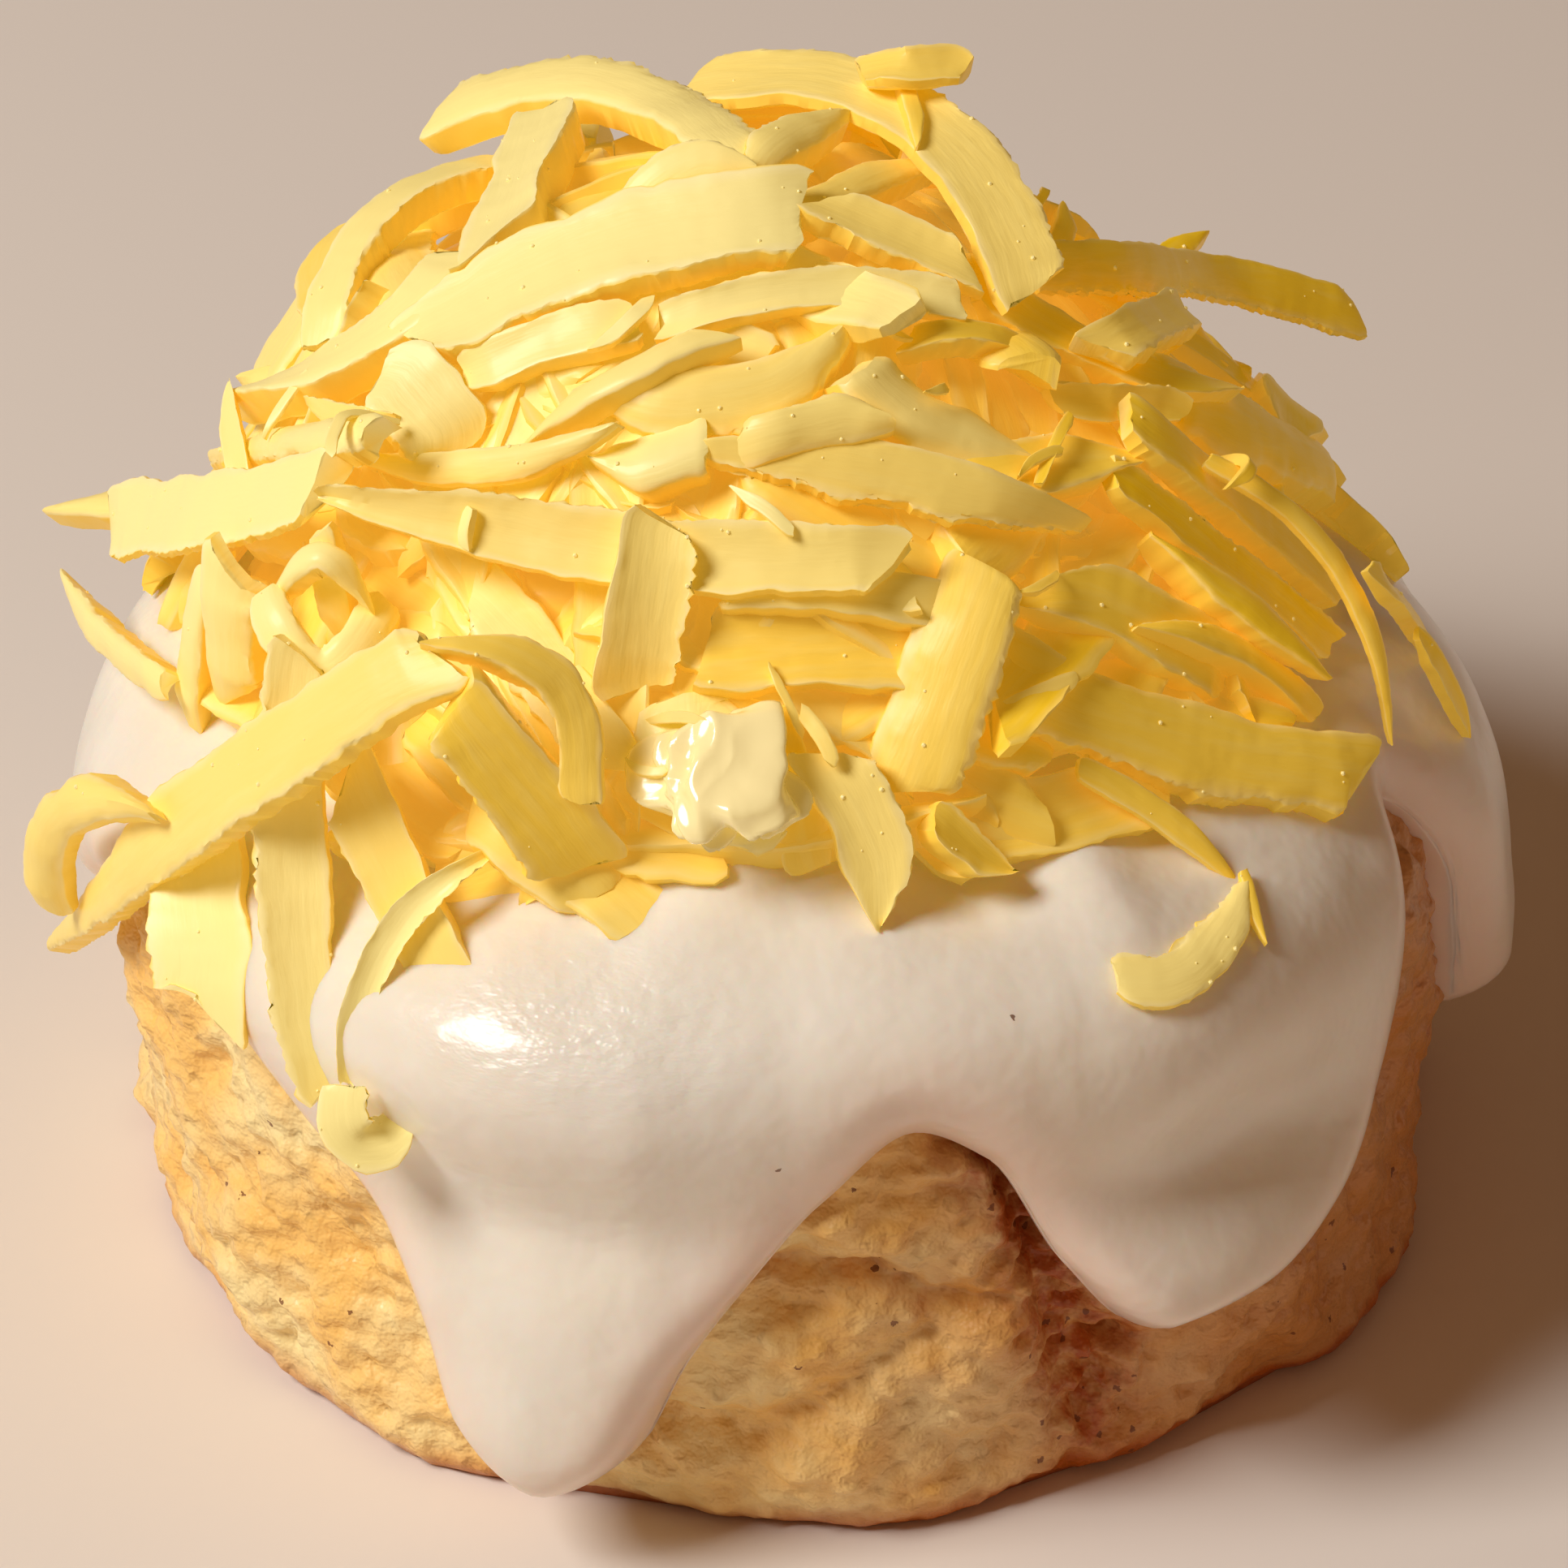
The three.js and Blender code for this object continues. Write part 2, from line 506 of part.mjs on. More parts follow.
// The shreds of the front, the lowest first.
const FRONT_SHREDS = [
  [-17.5, 38, -28.5, 27, -3, 3, BLUNT, BLUNT],
  [-33.5, 24, -20, 32.5, -2, 3.5, POINTED, BLUNT],
  [-2, 33, 9.5, 38.5, 0.5, 2.5, POINTED, POINTED],
  [16.5, 32, 17.5, 35.5, 0, 1.5, BLUNT, POINTED],
  [21, 30, 25.5, 34, 0, 2, BLUNT, POINTED],
  [15.5, 31.5, 35, 28.5, 1, 3, BLUNT, BLUNT],
  [23, 24, 33, 19, 0, 5, BLUNT, BLUNT],
  [11.5, 31, 28.5, 23, -1, 3, BLUNT, POINTED],
  [19, 26.5, 24.5, 29, 0, 3, TORN, BLUNT],
  [-5.5, 42.5, 15, 30, 5.5, 5, BLUNT, BLUNT],
  [7, 44.5, 8.5, 39, 0, 1, POINTED, POINTED],
  [5, 43.5, 11, 44, 0, 2.5, BLUNT, TORN],
  [-21, 41, -2.5, 38, 3.5, 4, BLUNT, BLUNT],
  [-14.5, 41, -18.5, 30.5, 0, 4.5, BLUNT, POINTED],
  [-3, 37.5, 3, 41, 0, 3, POINTED, POINTED],
  [-9.5, 35, -1.5, 38, 1.5, 2.5, BLUNT, POINTED],
  [2, 35.5, 11.5, 31.5, 0, 3, BLUNT, BLUNT],
  [-7.5, 28, 11, 29.5, 1.5, 2.5, BLUNT, BLUNT],
  [-22.5, 26.5, 1, 35, 2, 6, POINTED, BLUNT],
  [-19.5, 25, -9, 28, 0.5, 3, TORN, BLUNT],
  [-10.5, 24, 4.5, 27, -2, 4, TORN, POINTED],
  [-16, 21, -4, 27.5, 0.5, 2, POINTED, BLUNT],
  [-24, 25.5, -20.5, 21, 0, 5.5, TORN, TORN],
  [7.5, 27, 16.5, 25, 1.5, 2, BLUNT, BLUNT],
  [4.5, 25.5, 15.5, 20.5, -1.5, 4, BLUNT, POINTED],
  [16.5, 23.5, 24.5, 23, 0, 2, BLUNT, TORN],
  [11.5, 19, 21, 21, -0.5, 3.5, BLUNT, POINTED],
  [-5, 19, 18, 14.5, 2, 3.5, POINTED, POINTED],
  [20, 19, 33.5, 8.5, 0, 2.5, BLUNT, BLUNT],
  [21, 22.5, 34, 11.5, 0, 3, BLUNT, BLUNT],
  [-2.5, 21, 6.5, 23, 0, 3, BLUNT, POINTED],
  [-11.5, 18.5, -4.5, 21, 0, 3.5, POINTED, BLUNT],
  [-26.5, 19.5, -10, 21.5, -1, 2, POINTED, POINTED],
  [-29.5, 23, -24, 22, 0, 1.5, POINTED, POINTED],
  [-34.5, 20, -25, 21.5, 0, 2.5, POINTED, BLUNT],
  [-34.5, 24.5, -33, 16, 0, 1.5, POINTED, BLUNT],
  [-45, 17.5, -34, 16.5, 0, 2.5, POINTED, BLUNT],
  [-41, 16, -28.5, 18, -0.5, 4.5, BLUNT, BLUNT],
  [10.5, 3.5, 16, 2, 0, 4, TORN, TORN],
  [14, 12, 27, 6.5, 1, 4.5, POINTED, BLUNT],
  [21.5, 10, 32.5, 4.5, 1, 2, POINTED, BLUNT],
  [22, 14.5, 33, 6, 1, 2.5, POINTED, POINTED],
  [-5, 8, 9, 8.5, 0, 5, BLUNT, BLUNT],
  [-3.5, 12, 10.5, 10.5, 0.5, 3, BLUNT, BLUNT],
  [-35, 14, -36.5, 4, -0.5, 2, BLUNT, BLUNT],
  [-34, 13.5, -33.5, 5.5, 0, 4, BLUNT, BLUNT],
  [-28.5, 15.5, -27, 9, 0, 2, BLUNT, BLUNT],
  [-31, 10.5, -26, 10.5, 3.5, 2, POINTED, POINTED],
  [-32, 11.5, -24.5, 11, -4.5, 2.5, BLUNT, BLUNT],
  [-44.5, 12.5, -38, 6, -0.5, 2, POINTED, BLUNT],
  [-19, 11.5, -10.5, 1, 0.5, 4, BLUNT, BLUNT],
  [-28, 19, 6.5, 13.5, -2, 4, POINTED, BLUNT],
  [-7.5, 16, -9, 6, 0, 4.5, BLUNT, BLUNT],
  [13, 7, 35.5, 0.5, -1.5, 5, BLUNT, POINTED],
  [12.5, 13, 7.5, -0.5, 0, 5.5, BLUNT, BLUNT],
  [-1, 4.5, 1.5, -5, 0, 3, BLUNT, BLUNT],
  [2.5, 2, 7, -8.5, 0.5, 4, BLUNT, POINTED],
  [9, -2, 13.5, -6, 0, 2.5, BLUNT, POINTED],
  [-7, 4.5, -0.5, -2, 0, 6.5, TORN, TORN],
  [-36, -2.5, -36, -14.5, 0, 6, BLUNT, BLUNT],
  [-29.5, 8, -28.5, -18.5, -1, 4, BLUNT, TORN],
  [-27, 0.5, -20.5, -13, 0, 4, BLUNT, BLUNT],
  [-44.5, -9, -21, 8, 1, 5, POINTED, BLUNT],
  [-38.5, -1, -45, -7.5, -3.5, 3, POINTED, BLUNT],
  [-17.5, -3.5, -27, -18.5, -2.5, 2, POINTED, POINTED],
  [-27, -18.5, -23, -21.5, -2.5, 3, BLUNT, POINTED],
  [-18.5, -1.5, -11.5, -7, 0, 4, BLUNT, BLUNT],
  [-20.5, 5, -12.5, -5, 0, 5, BLUNT, BLUNT],
  [-22, 7.5, -12.5, -1, 4.5, 2.5, POINTED, BLUNT],
  [17, 2, 29, -10, 1.5, 1.5, BLUNT, POINTED],
  [28.5, -5, 20, -11.5, 4, 3, TORN, POINTED],
  [26, 20, 37, 2.5, 3.5, 1.5, BLUNT, POINTED],
];

// Shreds strewn at the sides and the back, as seen from seats round the roll: azimuth and how many.
const STREWN = [
  [100, 6], [130, 5], [160, 6], [190, 5], [220, 6], [250, 5],
];
const STREWN_SIZE = { short: 12, long: 27, narrow: 3.5, broad: 5.5, bow: 2 };
const MOUND_SIGHT = { above: 4, halfWidth: 20, halfHeight: 18 }; // how the heap is seen from a seat

// Numbers between 0 and 1, the same ones for the same seed.
function dice(seed) {
  let state = seed;
  return () => {
    state = (state + 0x6d2b79f5) | 0;
    let mixed = Math.imul(state ^ (state >>> 15), 1 | state);
    mixed = (mixed + Math.imul(mixed ^ (mixed >>> 7), 61 | mixed)) ^ mixed;
    return ((mixed ^ (mixed >>> 14)) >>> 0) / 2 ** 32;
  };
}

function strewnShred(seat, roll) {
  const between = (low, high) => lerp(low, high, roll());
  const [out, round] = [Math.sqrt(roll()), roll() * FULL_TURN];
  const axis = HEAP.x * seat.right.x + HEAP.y * seat.right.y;
  const x = axis + MOUND_SIGHT.halfWidth * out * Math.cos(round);
  const y = MOUND_SIGHT.above + MOUND_SIGHT.halfHeight * out * Math.sin(round);
  const heading = between(-0.4, 0.4) * Math.PI;
  const half = between(STREWN_SIZE.short, STREWN_SIZE.long) / 2;
  const [dx, dy] = [half * Math.cos(heading), half * Math.sin(heading)];
  const tips = [roll() < 0.4 ? POINTED : BLUNT, roll() < 0.4 ? POINTED : TORN];
  const width = between(STREWN_SIZE.narrow, STREWN_SIZE.broad);
  return [x - dx, y - dy, x + dx, y + dy, between(-STREWN_SIZE.bow, STREWN_SIZE.bow), width, ...tips];
}

function strew(plan, roll, ground) {
  return plan.flatMap(([azimuth, count]) => {
    const seat = new Seat(azimuth);
    return Array.from({ length: count }, () => lay(strewnShred(seat, roll), seat, ground));
  });
}

const CORE_RINGS = 5;
const CORE_COLUMNS = 28;

// The packed inside of the heap: its outer form, sunk by the depth of the loose shreds.
function coreSolid() {
  const rings = Array.from({ length: CORE_RINGS }, (_, k) =>
    Array.from({ length: CORE_COLUMNS }, (_, c) => {
      const away = (HEAP.radius * (k + 1)) / CORE_RINGS;
      const turn = (c / CORE_COLUMNS) * FULL_TURN;
      const [x, y] = [HEAP.x + away * Math.sin(turn), HEAP.y - away * Math.cos(turn)];
      return new THREE.Vector3(x, y, moundHeight(x, y) - HEAP.loose + HEAP.facet);
    }),
  );
  const top = new THREE.Vector3(HEAP.x, HEAP.y, HEAP.foot + HEAP.rise - HEAP.loose);
  return ringSolid(rings, top, new THREE.Vector3(HEAP.x, HEAP.y, BUN.shoulderHeight));
}

function heapSolid() {
  const ground = new Ground();
  const shreds = strew(STREWN, dice(11), ground);
  const front = new Seat(0);
  for (const shred of FRONT_SHREDS) shreds.push(lay(shred, front, ground));
  const whole = shreds.reduce((sum, laid) => sum.add(shredSolid(laid)), coreSolid());
  return whole.subtract(icingBlock(CLEARANCE)).subtract(bunSolid(CLEARANCE));
}

// ---------------------------------------------------------------- assembly

// The largest body of a solid as a mesh with a material of its own; loose scraps are left out.
function meshOf(name, shape, color, roughness) {
  const [largest] = shape.decompose().sort((a, b) => b.volume() - a.volume());
  const { vertProperties, triVerts } = largest.getMesh();
  const geometry = new THREE.BufferGeometry();
  geometry.setAttribute("position", new THREE.Float32BufferAttribute(vertProperties, 3));
  geometry.setIndex([...triVerts]);
  geometry.computeVertexNormals();
  const mesh = new THREE.Mesh(geometry, new THREE.MeshStandardMaterial({ color, roughness, metalness: 0 }));
  mesh.name = name;
  return mesh;
}

const roll = new THREE.Group();
roll.add(meshOf("bun", bunSolid(), "#d9a05f", 0.7));
roll.add(meshOf("icing", icingBlock().subtract(bunSolid(CLEARANCE)), "#efe8dc", 0.35));
roll.add(meshOf("cheese_heap", heapSolid(), "#f5cf63", 0.5));

export default roll;
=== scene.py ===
"""A cheese roll: a soft bun under thick white icing, with a tall heap of coarsely grated cheese.

Sizes in the classes are millimetres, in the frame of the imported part: +Z up, front towards -Y.
Azimuths are counted from the front towards the right.
"""

import logging
import math
from dataclasses import dataclass, field, replace
from enum import Enum
from typing import Callable, Iterator, Sequence

import bpy
import numpy as np
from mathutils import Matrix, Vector, noise
from mathutils.bvhtree import BVHTree
from mathutils.kdtree import KDTree


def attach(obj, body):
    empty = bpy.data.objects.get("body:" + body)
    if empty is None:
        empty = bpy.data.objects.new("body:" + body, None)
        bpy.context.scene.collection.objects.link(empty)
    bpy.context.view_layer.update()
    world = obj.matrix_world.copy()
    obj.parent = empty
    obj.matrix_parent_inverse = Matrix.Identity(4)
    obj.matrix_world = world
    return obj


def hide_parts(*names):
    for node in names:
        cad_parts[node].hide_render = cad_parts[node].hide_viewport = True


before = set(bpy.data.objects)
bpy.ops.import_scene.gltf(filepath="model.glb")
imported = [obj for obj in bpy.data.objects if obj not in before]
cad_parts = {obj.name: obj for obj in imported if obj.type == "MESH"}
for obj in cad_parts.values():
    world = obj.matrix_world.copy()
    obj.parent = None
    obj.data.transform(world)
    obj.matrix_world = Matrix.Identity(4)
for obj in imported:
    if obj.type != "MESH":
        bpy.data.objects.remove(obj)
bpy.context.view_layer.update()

MM = 0.001
FULL_TURN = 2 * math.pi
Array = np.ndarray
Table = tuple[tuple[float, float], ...]
Plan = tuple[tuple[float, int], ...]
Colour = tuple[float, float, float, float]
Value = object
Socket = bpy.types.NodeSocket
Sockets = dict[str, tuple[str, Value]]
NUMBER, COLOUR, GEOMETRY = "NodeSocketFloat", "NodeSocketColor", "NodeSocketGeometry"
log = logging.getLogger("cheese_roll")


# ------------------------------------------------------------------ small helpers


def round_curve(table: Table, azimuth: Array) -> Array:
    """A smooth closed curve over azimuth through a table, without overshoot.

    Args:
        table: Pairs of azimuth in degrees and value, rising in azimuth.
        azimuth: Azimuths in radians.

    Returns:
        The curve's value at each azimuth.
    """
    places, values = np.array(table).T
    places = np.concatenate([places[-2:] - 360, places, places[:3] + 360])
    values = np.concatenate([values[-2:], values, values[:3]])
    rises = np.diff(values) / np.diff(places)
    before, after = rises[:-1], rises[1:]
    product = before * after
    slopes = np.zeros(len(places))
    total = np.where(product > 0, before + after, 1.0)
    slopes[1:-1] = np.where(product > 0, 2 * product / total, 0.0)
    turn = np.mod(np.degrees(azimuth) - table[0][0], 360) + table[0][0]
    i = np.clip(np.searchsorted(places, turn, side="right") - 1, 1, len(places) - 3)
    span = places[i + 1] - places[i]
    t = (turn - places[i]) / span
    return (
        (2 * t**3 - 3 * t**2 + 1) * values[i]
        + (t**3 - 2 * t**2 + t) * span * slopes[i]
        + (3 * t**2 - 2 * t**3) * values[i + 1]
        + (t**3 - t**2) * span * slopes[i + 1]
    )


def smooth_noise(points: Array, size: float, seed: float = 0.0) -> Array:
    """Soft noise between about -1 and 1.

    Args:
        points: Rows of points.
        size: Width of one swelling.
        seed: Shifts the pattern.

    Returns:
        One value for each point.
    """
    shift = Vector((seed, 1.7 * seed, -0.6 * seed))
    return np.array([noise.noise(Vector(p) / size + shift) for p in points.reshape(-1, 3)])


def moving_mean(values: Array, cells: int, axis: int) -> Array:
    """Averages a grid along one axis over a window.

    Args:
        values: The grid.
        cells: Cells to each side of the middle one.
        axis: 0 or 1.

    Returns:
        A grid of the same size.
    """
    pads = [(0, 0), (0, 0)]
    pads[axis] = (cells + 1, cells)
    sums = np.cumsum(np.pad(values, pads, mode="edge"), axis=axis)
    count, width = values.shape[axis], 2 * cells + 1
    high, low = np.take(sums, range(width, width + count), axis), np.take(sums, range(count), axis)
    return (high - low) / width


def through(values: Array, places: Array) -> Array:
    """A smooth curve through evenly spaced rows.

    Args:
        values: Rows of numbers.
        places: Where to read it, from 0 at the first row to 1 at the last.

    Returns:
        One row for each place.
    """
    last = len(values) - 1
    i = np.clip(np.floor(places * last).astype(int), 0, last - 1)
    t = (places * last - i)[:, None]
    before, after = values[np.maximum(i - 1, 0)], values[np.minimum(i + 2, last)]
    a, b = values[i], values[i + 1]
    return 0.5 * (
        2 * a + (b - before) * t + (2 * before - 5 * a + 4 * b - after) * t**2
        + (3 * a - before - 3 * b + after) * t**3
    )


def dice(seed: int) -> Iterator[float]:
    """The same row of numbers for the same seed.

    Args:
        seed: Any whole number.

    Yields:
        Numbers from 0 up to 1.
    """
    mask = 0xFFFFFFFF
    state = seed
    while True:
        state = (state + 0x6D2B79F5) & mask
        mixed = ((state ^ (state >> 15)) * (1 | state)) & mask
        mixed = ((mixed + (((mixed ^ (mixed >> 7)) * (61 | mixed)) & mask)) & mask) ^ mixed
        yield ((mixed ^ (mixed >> 14)) & mask) / 2**32


def between(roll: Iterator[float], low: float, high: float) -> float:
    """The next number, between two limits."""
    return low + (high - low) * next(roll)


def around(count: int) -> Array:
    """Evenly spaced azimuths from the back round the front to the back."""
    return (np.arange(count) / count) * FULL_TURN - math.pi


def unit(rows: Array) -> Array:
    """Directions scaled to length one."""
    return rows / np.maximum(np.linalg.norm(rows, axis=-1, keepdims=True), 1e-12)


def upright(out: Array, along: Array) -> Array:
    """The directions nearest to some that stand square on others."""
    return unit(out - along * (out * along).sum(axis=1, keepdims=True))


def mesh_object(
    name: str, points: Array, faces: Sequence[Sequence[int]], edges: Sequence[Sequence[int]] = (),
) -> bpy.types.Object:
    """Makes a smooth mesh object at the origin.

    Args:
        name: The object's name.
        points: Vertices in millimetres.
        faces: Vertex numbers of each face.
        edges: Vertex numbers of loose edges.

    Returns:
        The new object, linked to the scene.
    """
    mesh = bpy.data.meshes.new(name)
    mesh.from_pydata((points * MM).tolist(), edges, faces)
    mesh.update()
    mesh.shade_smooth()
    piece = bpy.data.objects.new(name, mesh)
    bpy.context.scene.collection.objects.link(piece)
    return piece


def closed_skin(name: str, first: Sequence[float], rings: Array, last: Sequence[float]) -> bpy.types.Object:
    """Makes a closed skin of rings between two points.

    Args:
        name: The object's name.
        first: The point inside the first ring.
        rings: Rows of points, anticlockwise seen from the first point.
        last: The point inside the last ring.

    Returns:
        The new object, with its faces outwards.
    """
    count, columns = rings.shape[:2]
    faces: list[tuple[int, ...]] = []
    for c in range(columns):
        d = (c + 1) % columns
        faces.append((0, 1 + c, 1 + d))
        for low in range(1, 1 + (count - 1) * columns, columns):
            high = low + columns
            faces.append((low + c, high + c, high + d, low + d))
        top = 1 + (count - 1) * columns
        faces.append((top + c, 1 + count * columns, top + d))
    return mesh_object(name, np.concatenate([[first], rings.reshape(-1, 3), [last]]), faces)


def corners(piece: bpy.types.Object) -> Array:
    """The vertices of a piece in millimetres."""
    found = np.empty(len(piece.data.vertices) * 3)
    piece.data.vertices.foreach_get("co", found)
    return found.reshape(-1, 3) / MM


def set_attribute(mesh: bpy.types.Mesh, name: str, values: Array | float) -> None:
    """Stores a number or a vector for each vertex.

    Args:
        mesh: The mesh.
        name: The attribute's name.
        values: One number for all, numbers, or rows of three for vectors.
    """
    values = np.asarray(values, dtype=np.float32)
    is_vector = values.ndim == 2
    attribute = mesh.attributes.new(name, "FLOAT_VECTOR" if is_vector else "FLOAT", "POINT")
    shape = (len(mesh.vertices), 3) if is_vector else len(mesh.vertices)
    attribute.data.foreach_set("vector" if is_vector else "value", np.broadcast_to(values, shape).ravel())


# ------------------------------------------------------------------ node trees


class Canvas:
    """Adds nodes to one tree and links them as they are made."""

    def __init__(self, tree: bpy.types.NodeTree) -> None:
        """Starts on a tree."""
        self.tree = tree

    @classmethod
    def group(cls, name: str, kind: str, inputs: Sockets, output: str) -> tuple["Canvas", Value, bpy.types.Node]:
        """Starts a node group.

        Args:
            name: Its name.
            kind: The type of tree.
            inputs: Socket type and default of each named input.
            output: Name of its output, of the type of the first input.

        Returns:
            Its canvas, the sockets it is given and its output node.
        """
        tree = bpy.data.node_groups.new(name, kind)
        for key, (socket_type, default) in inputs.items():
            socket = tree.interface.new_socket(key, in_out="INPUT", socket_type=socket_type)
            if default is not None:
                socket.default_value = default
        canvas = cls(tree)
        output_type = {"Geometry": GEOMETRY, "Color": COLOUR, "Height": NUMBER}[output]
        tree.interface.new_socket(output, in_out="OUTPUT", socket_type=output_type)
        return canvas, canvas.add("NodeGroupInput").outputs, canvas.add("NodeGroupOutput")

    def add(self, kind: str, inputs: dict[str | int, Value] | None = None, **settings: Value) -> bpy.types.Node:
        """Adds one node.

        Args:
            kind: The node's type.
            inputs: Values or output sockets for its inputs, by name or number.
            settings: Properties of the node.

        Returns:
            The node.
        """
        node = self.tree.nodes.new(kind)
        for key, value in settings.items():
            setattr(node, key, value)
        for key, value in (inputs or {}).items():
            if isinstance(value, Socket):
                self.tree.links.new(value, node.inputs[key])
            else:
                node.inputs[key].default_value = value
        return node

    def math(self, operation: str, *values: Value, **settings: Value) -> Socket:
        """The result of a Math node.

        Args:
            operation: MULTIPLY, ADD and so on.
            values: Its inputs.
            settings: Its other properties.

        Returns:
            The output socket.
        """
        return self.add("ShaderNodeMath", dict(enumerate(values)), operation=operation, **settings).outputs[0]

    def product(self, first: Value, *others: Value) -> Socket:
        """The product of two or more values.

        Args:
            first: The first value.
            others: The others.

        Returns:
            The output socket.
        """
        for other in others:
            first = self.math("MULTIPLY", first, other)
        return first

    def plus(self, first: Value, second: Value) -> Socket:
        """The sum of two values."""
        return self.math("ADD", first, second)

    def minus(self, first: Value, second: Value) -> Socket:
        """What is left of the first value without the second."""
        return self.math("SUBTRACT", first, second)

    def vector(self, operation: str, first: Value, second: Value) -> Socket:
        """The result of a Vector Math node; SCALE takes its factor second."""
        inputs = {0: first, "Scale" if operation == "SCALE" else 1: second}
        return self.add("ShaderNodeVectorMath", inputs, operation=operation).outputs[0]

    def mix(self, factor: Value, first: Value, second: Value) -> Socket:
        """Mixes two colours by the share of the second."""
        inputs = {0: factor, 6: first, 7: second}
        return self.add("ShaderNodeMix", inputs, data_type="RGBA").outputs[2]

    def remap(self, value: Socket, start: tuple[float, float], end: tuple[float, float] = (0.0, 1.0)) -> Socket:
        """Maps one range of values to another and holds the result within it."""
        limits = {"From Min": start[0], "From Max": start[1], "To Min": end[0], "To Max": end[1]}
        return self.add("ShaderNodeMapRange", {"Value": value, **limits}).outputs[0]

    def place(self) -> Socket:
        """The place on the object."""
        return self.add("ShaderNodeTexCoord").outputs["Object"]

    def noise(self, place: Socket, scale: Value, detail: float = 3.0, roughness: float = 0.6) -> bpy.types.Node:
        """Soft noise round 0.5."""
        inputs = {"Vector": place, "Scale": scale, "Detail": detail, "Roughness": roughness}
        return self.add("ShaderNodeTexNoise", inputs)

    def stored(self, name: str, output: str = "Fac") -> Socket:
        """A value stored on the mesh."""
        return self.add("ShaderNodeAttribute", attribute_name=name).outputs[output]

    def end(self, value: Socket, node: bpy.types.Node, name: str) -> None:
        """Links a value to a named input."""
        self.tree.links.new(value, node.inputs[name])


def colour(red: float, green: float, blue: float) -> Colour:
    """A colour as it is seen on a screen, from 0 to 255, as linear red, green, blue and 1."""
    linear = [(c / 255 / 12.92) if c <= 10 else ((c / 255 + 0.055) / 1.055) ** 2.4 for c in (red, green, blue)]
    return (*linear, 1.0)


class Effect(Enum):
    """Surface effects that more than one finish uses."""

    MOTTLE = "mottle"
    GRAIN = "grain"
    PITS = "pits"
    SPECKS = "specks"


class EffectLibrary:
    """Makes each shader group once and hands it out."""

    def __init__(self) -> None:
        """Starts empty."""
        self.made: dict[Effect, bpy.types.NodeTree] = {}

    def group(self, effect: Effect) -> bpy.types.NodeTree:
        """The node group of an effect, made on first use.

        Args:
            effect: Which one.

        Returns:
            The group.
        """
        if effect not in self.made:
            makers: dict[Effect, Callable[[], bpy.types.NodeTree]] = {
                Effect.MOTTLE: self._mottle,
                Effect.GRAIN: self._grain,
                Effect.PITS: self._pits,
                Effect.SPECKS: self._specks,
            }
            self.made[effect] = makers[effect]()
        return self.made[effect]

    @staticmethod
    def _mottle() -> bpy.types.NodeTree:
        """Two colours in soft patches."""
        grey = (0.8, 0.8, 0.8, 1)
        inputs = {"Colour": (COLOUR, grey), "Patches": (COLOUR, grey), "Scale": (NUMBER, 100.0)}
        inputs["Amount"] = (NUMBER, 0.5)
        canvas, given, result = Canvas.group("mottle", "ShaderNodeTree", inputs, "Color")
        clouds = canvas.noise(canvas.place(), given["Scale"]).outputs[0]
        share = canvas.product(canvas.remap(clouds, (0.36, 0.64)), given["Amount"])
        canvas.end(canvas.mix(share, given["Colour"], given["Patches"]), result, "Color")
        return canvas.tree

    @staticmethod
    def _grain() -> bpy.types.NodeTree:
        """Fine relief of soft swellings."""
        inputs = {"Scale": (NUMBER, 500.0), "Stretch": (NUMBER, 1.0)}
        canvas, given, result = Canvas.group("grain", "ShaderNodeTree", inputs, "Height")
        flat = canvas.add("ShaderNodeCombineXYZ", {0: 1.0, 1: 1.0, 2: given["Stretch"]}).outputs[0]
        place = canvas.vector("MULTIPLY", canvas.place(), flat)
        canvas.end(canvas.noise(place, given["Scale"], roughness=0.62).outputs[0], result, "Height")
        return canvas.tree

    @staticmethod
    def _pits() -> bpy.types.NodeTree:
        """Small pits, from -1 in the middle of each to 0 between them."""
        canvas, given, result = Canvas.group("pits", "ShaderNodeTree", {"Scale": (NUMBER, 500.0)}, "Height")
        cells = canvas.add("ShaderNodeTexVoronoi", {"Vector": canvas.place(), "Scale": given["Scale"]})
        canvas.end(canvas.remap(cells.outputs["Distance"], (0.0, 0.35), (-1.0, 0.0)), result, "Height")
        return canvas.tree

    @staticmethod
    def _specks() -> bpy.types.NodeTree:
        """Sparse small ragged specks over a colour."""
        grey, dark = (0.8, 0.8, 0.8, 1), (0.1, 0.04, 0.01, 1)
        inputs = {"Colour": (COLOUR, grey), "Speck": (COLOUR, dark), "Scale": (NUMBER, 300.0), "Share": (NUMBER, 0.1)}
        canvas, given, result = Canvas.group("specks", "ShaderNodeTree", inputs, "Color")
        place = canvas.place()
        scale = canvas.product(given["Scale"], 2.5)
        ragged = canvas.add("ShaderNodeTexNoise", {"Vector": place, "Scale": scale}).outputs["Color"]
        place = canvas.vector("ADD", place, canvas.vector("SCALE", ragged, 0.7 * MM))
        cells = canvas.add("ShaderNodeTexVoronoi", {"Vector": place, "Scale": given["Scale"]})
        near = canvas.math("LESS_THAN", cells.outputs["Distance"], 0.22)
        draw = canvas.add("ShaderNodeSeparateColor", {0: cells.outputs["Color"]}).outputs[0]
        share = canvas.product(near, canvas.math("LESS_THAN", draw, given["Share"]), 0.85)
        canvas.end(canvas.mix(share, given["Colour"], given["Speck"]), result, "Color")
        return canvas.tree


EFFECTS = EffectLibrary()


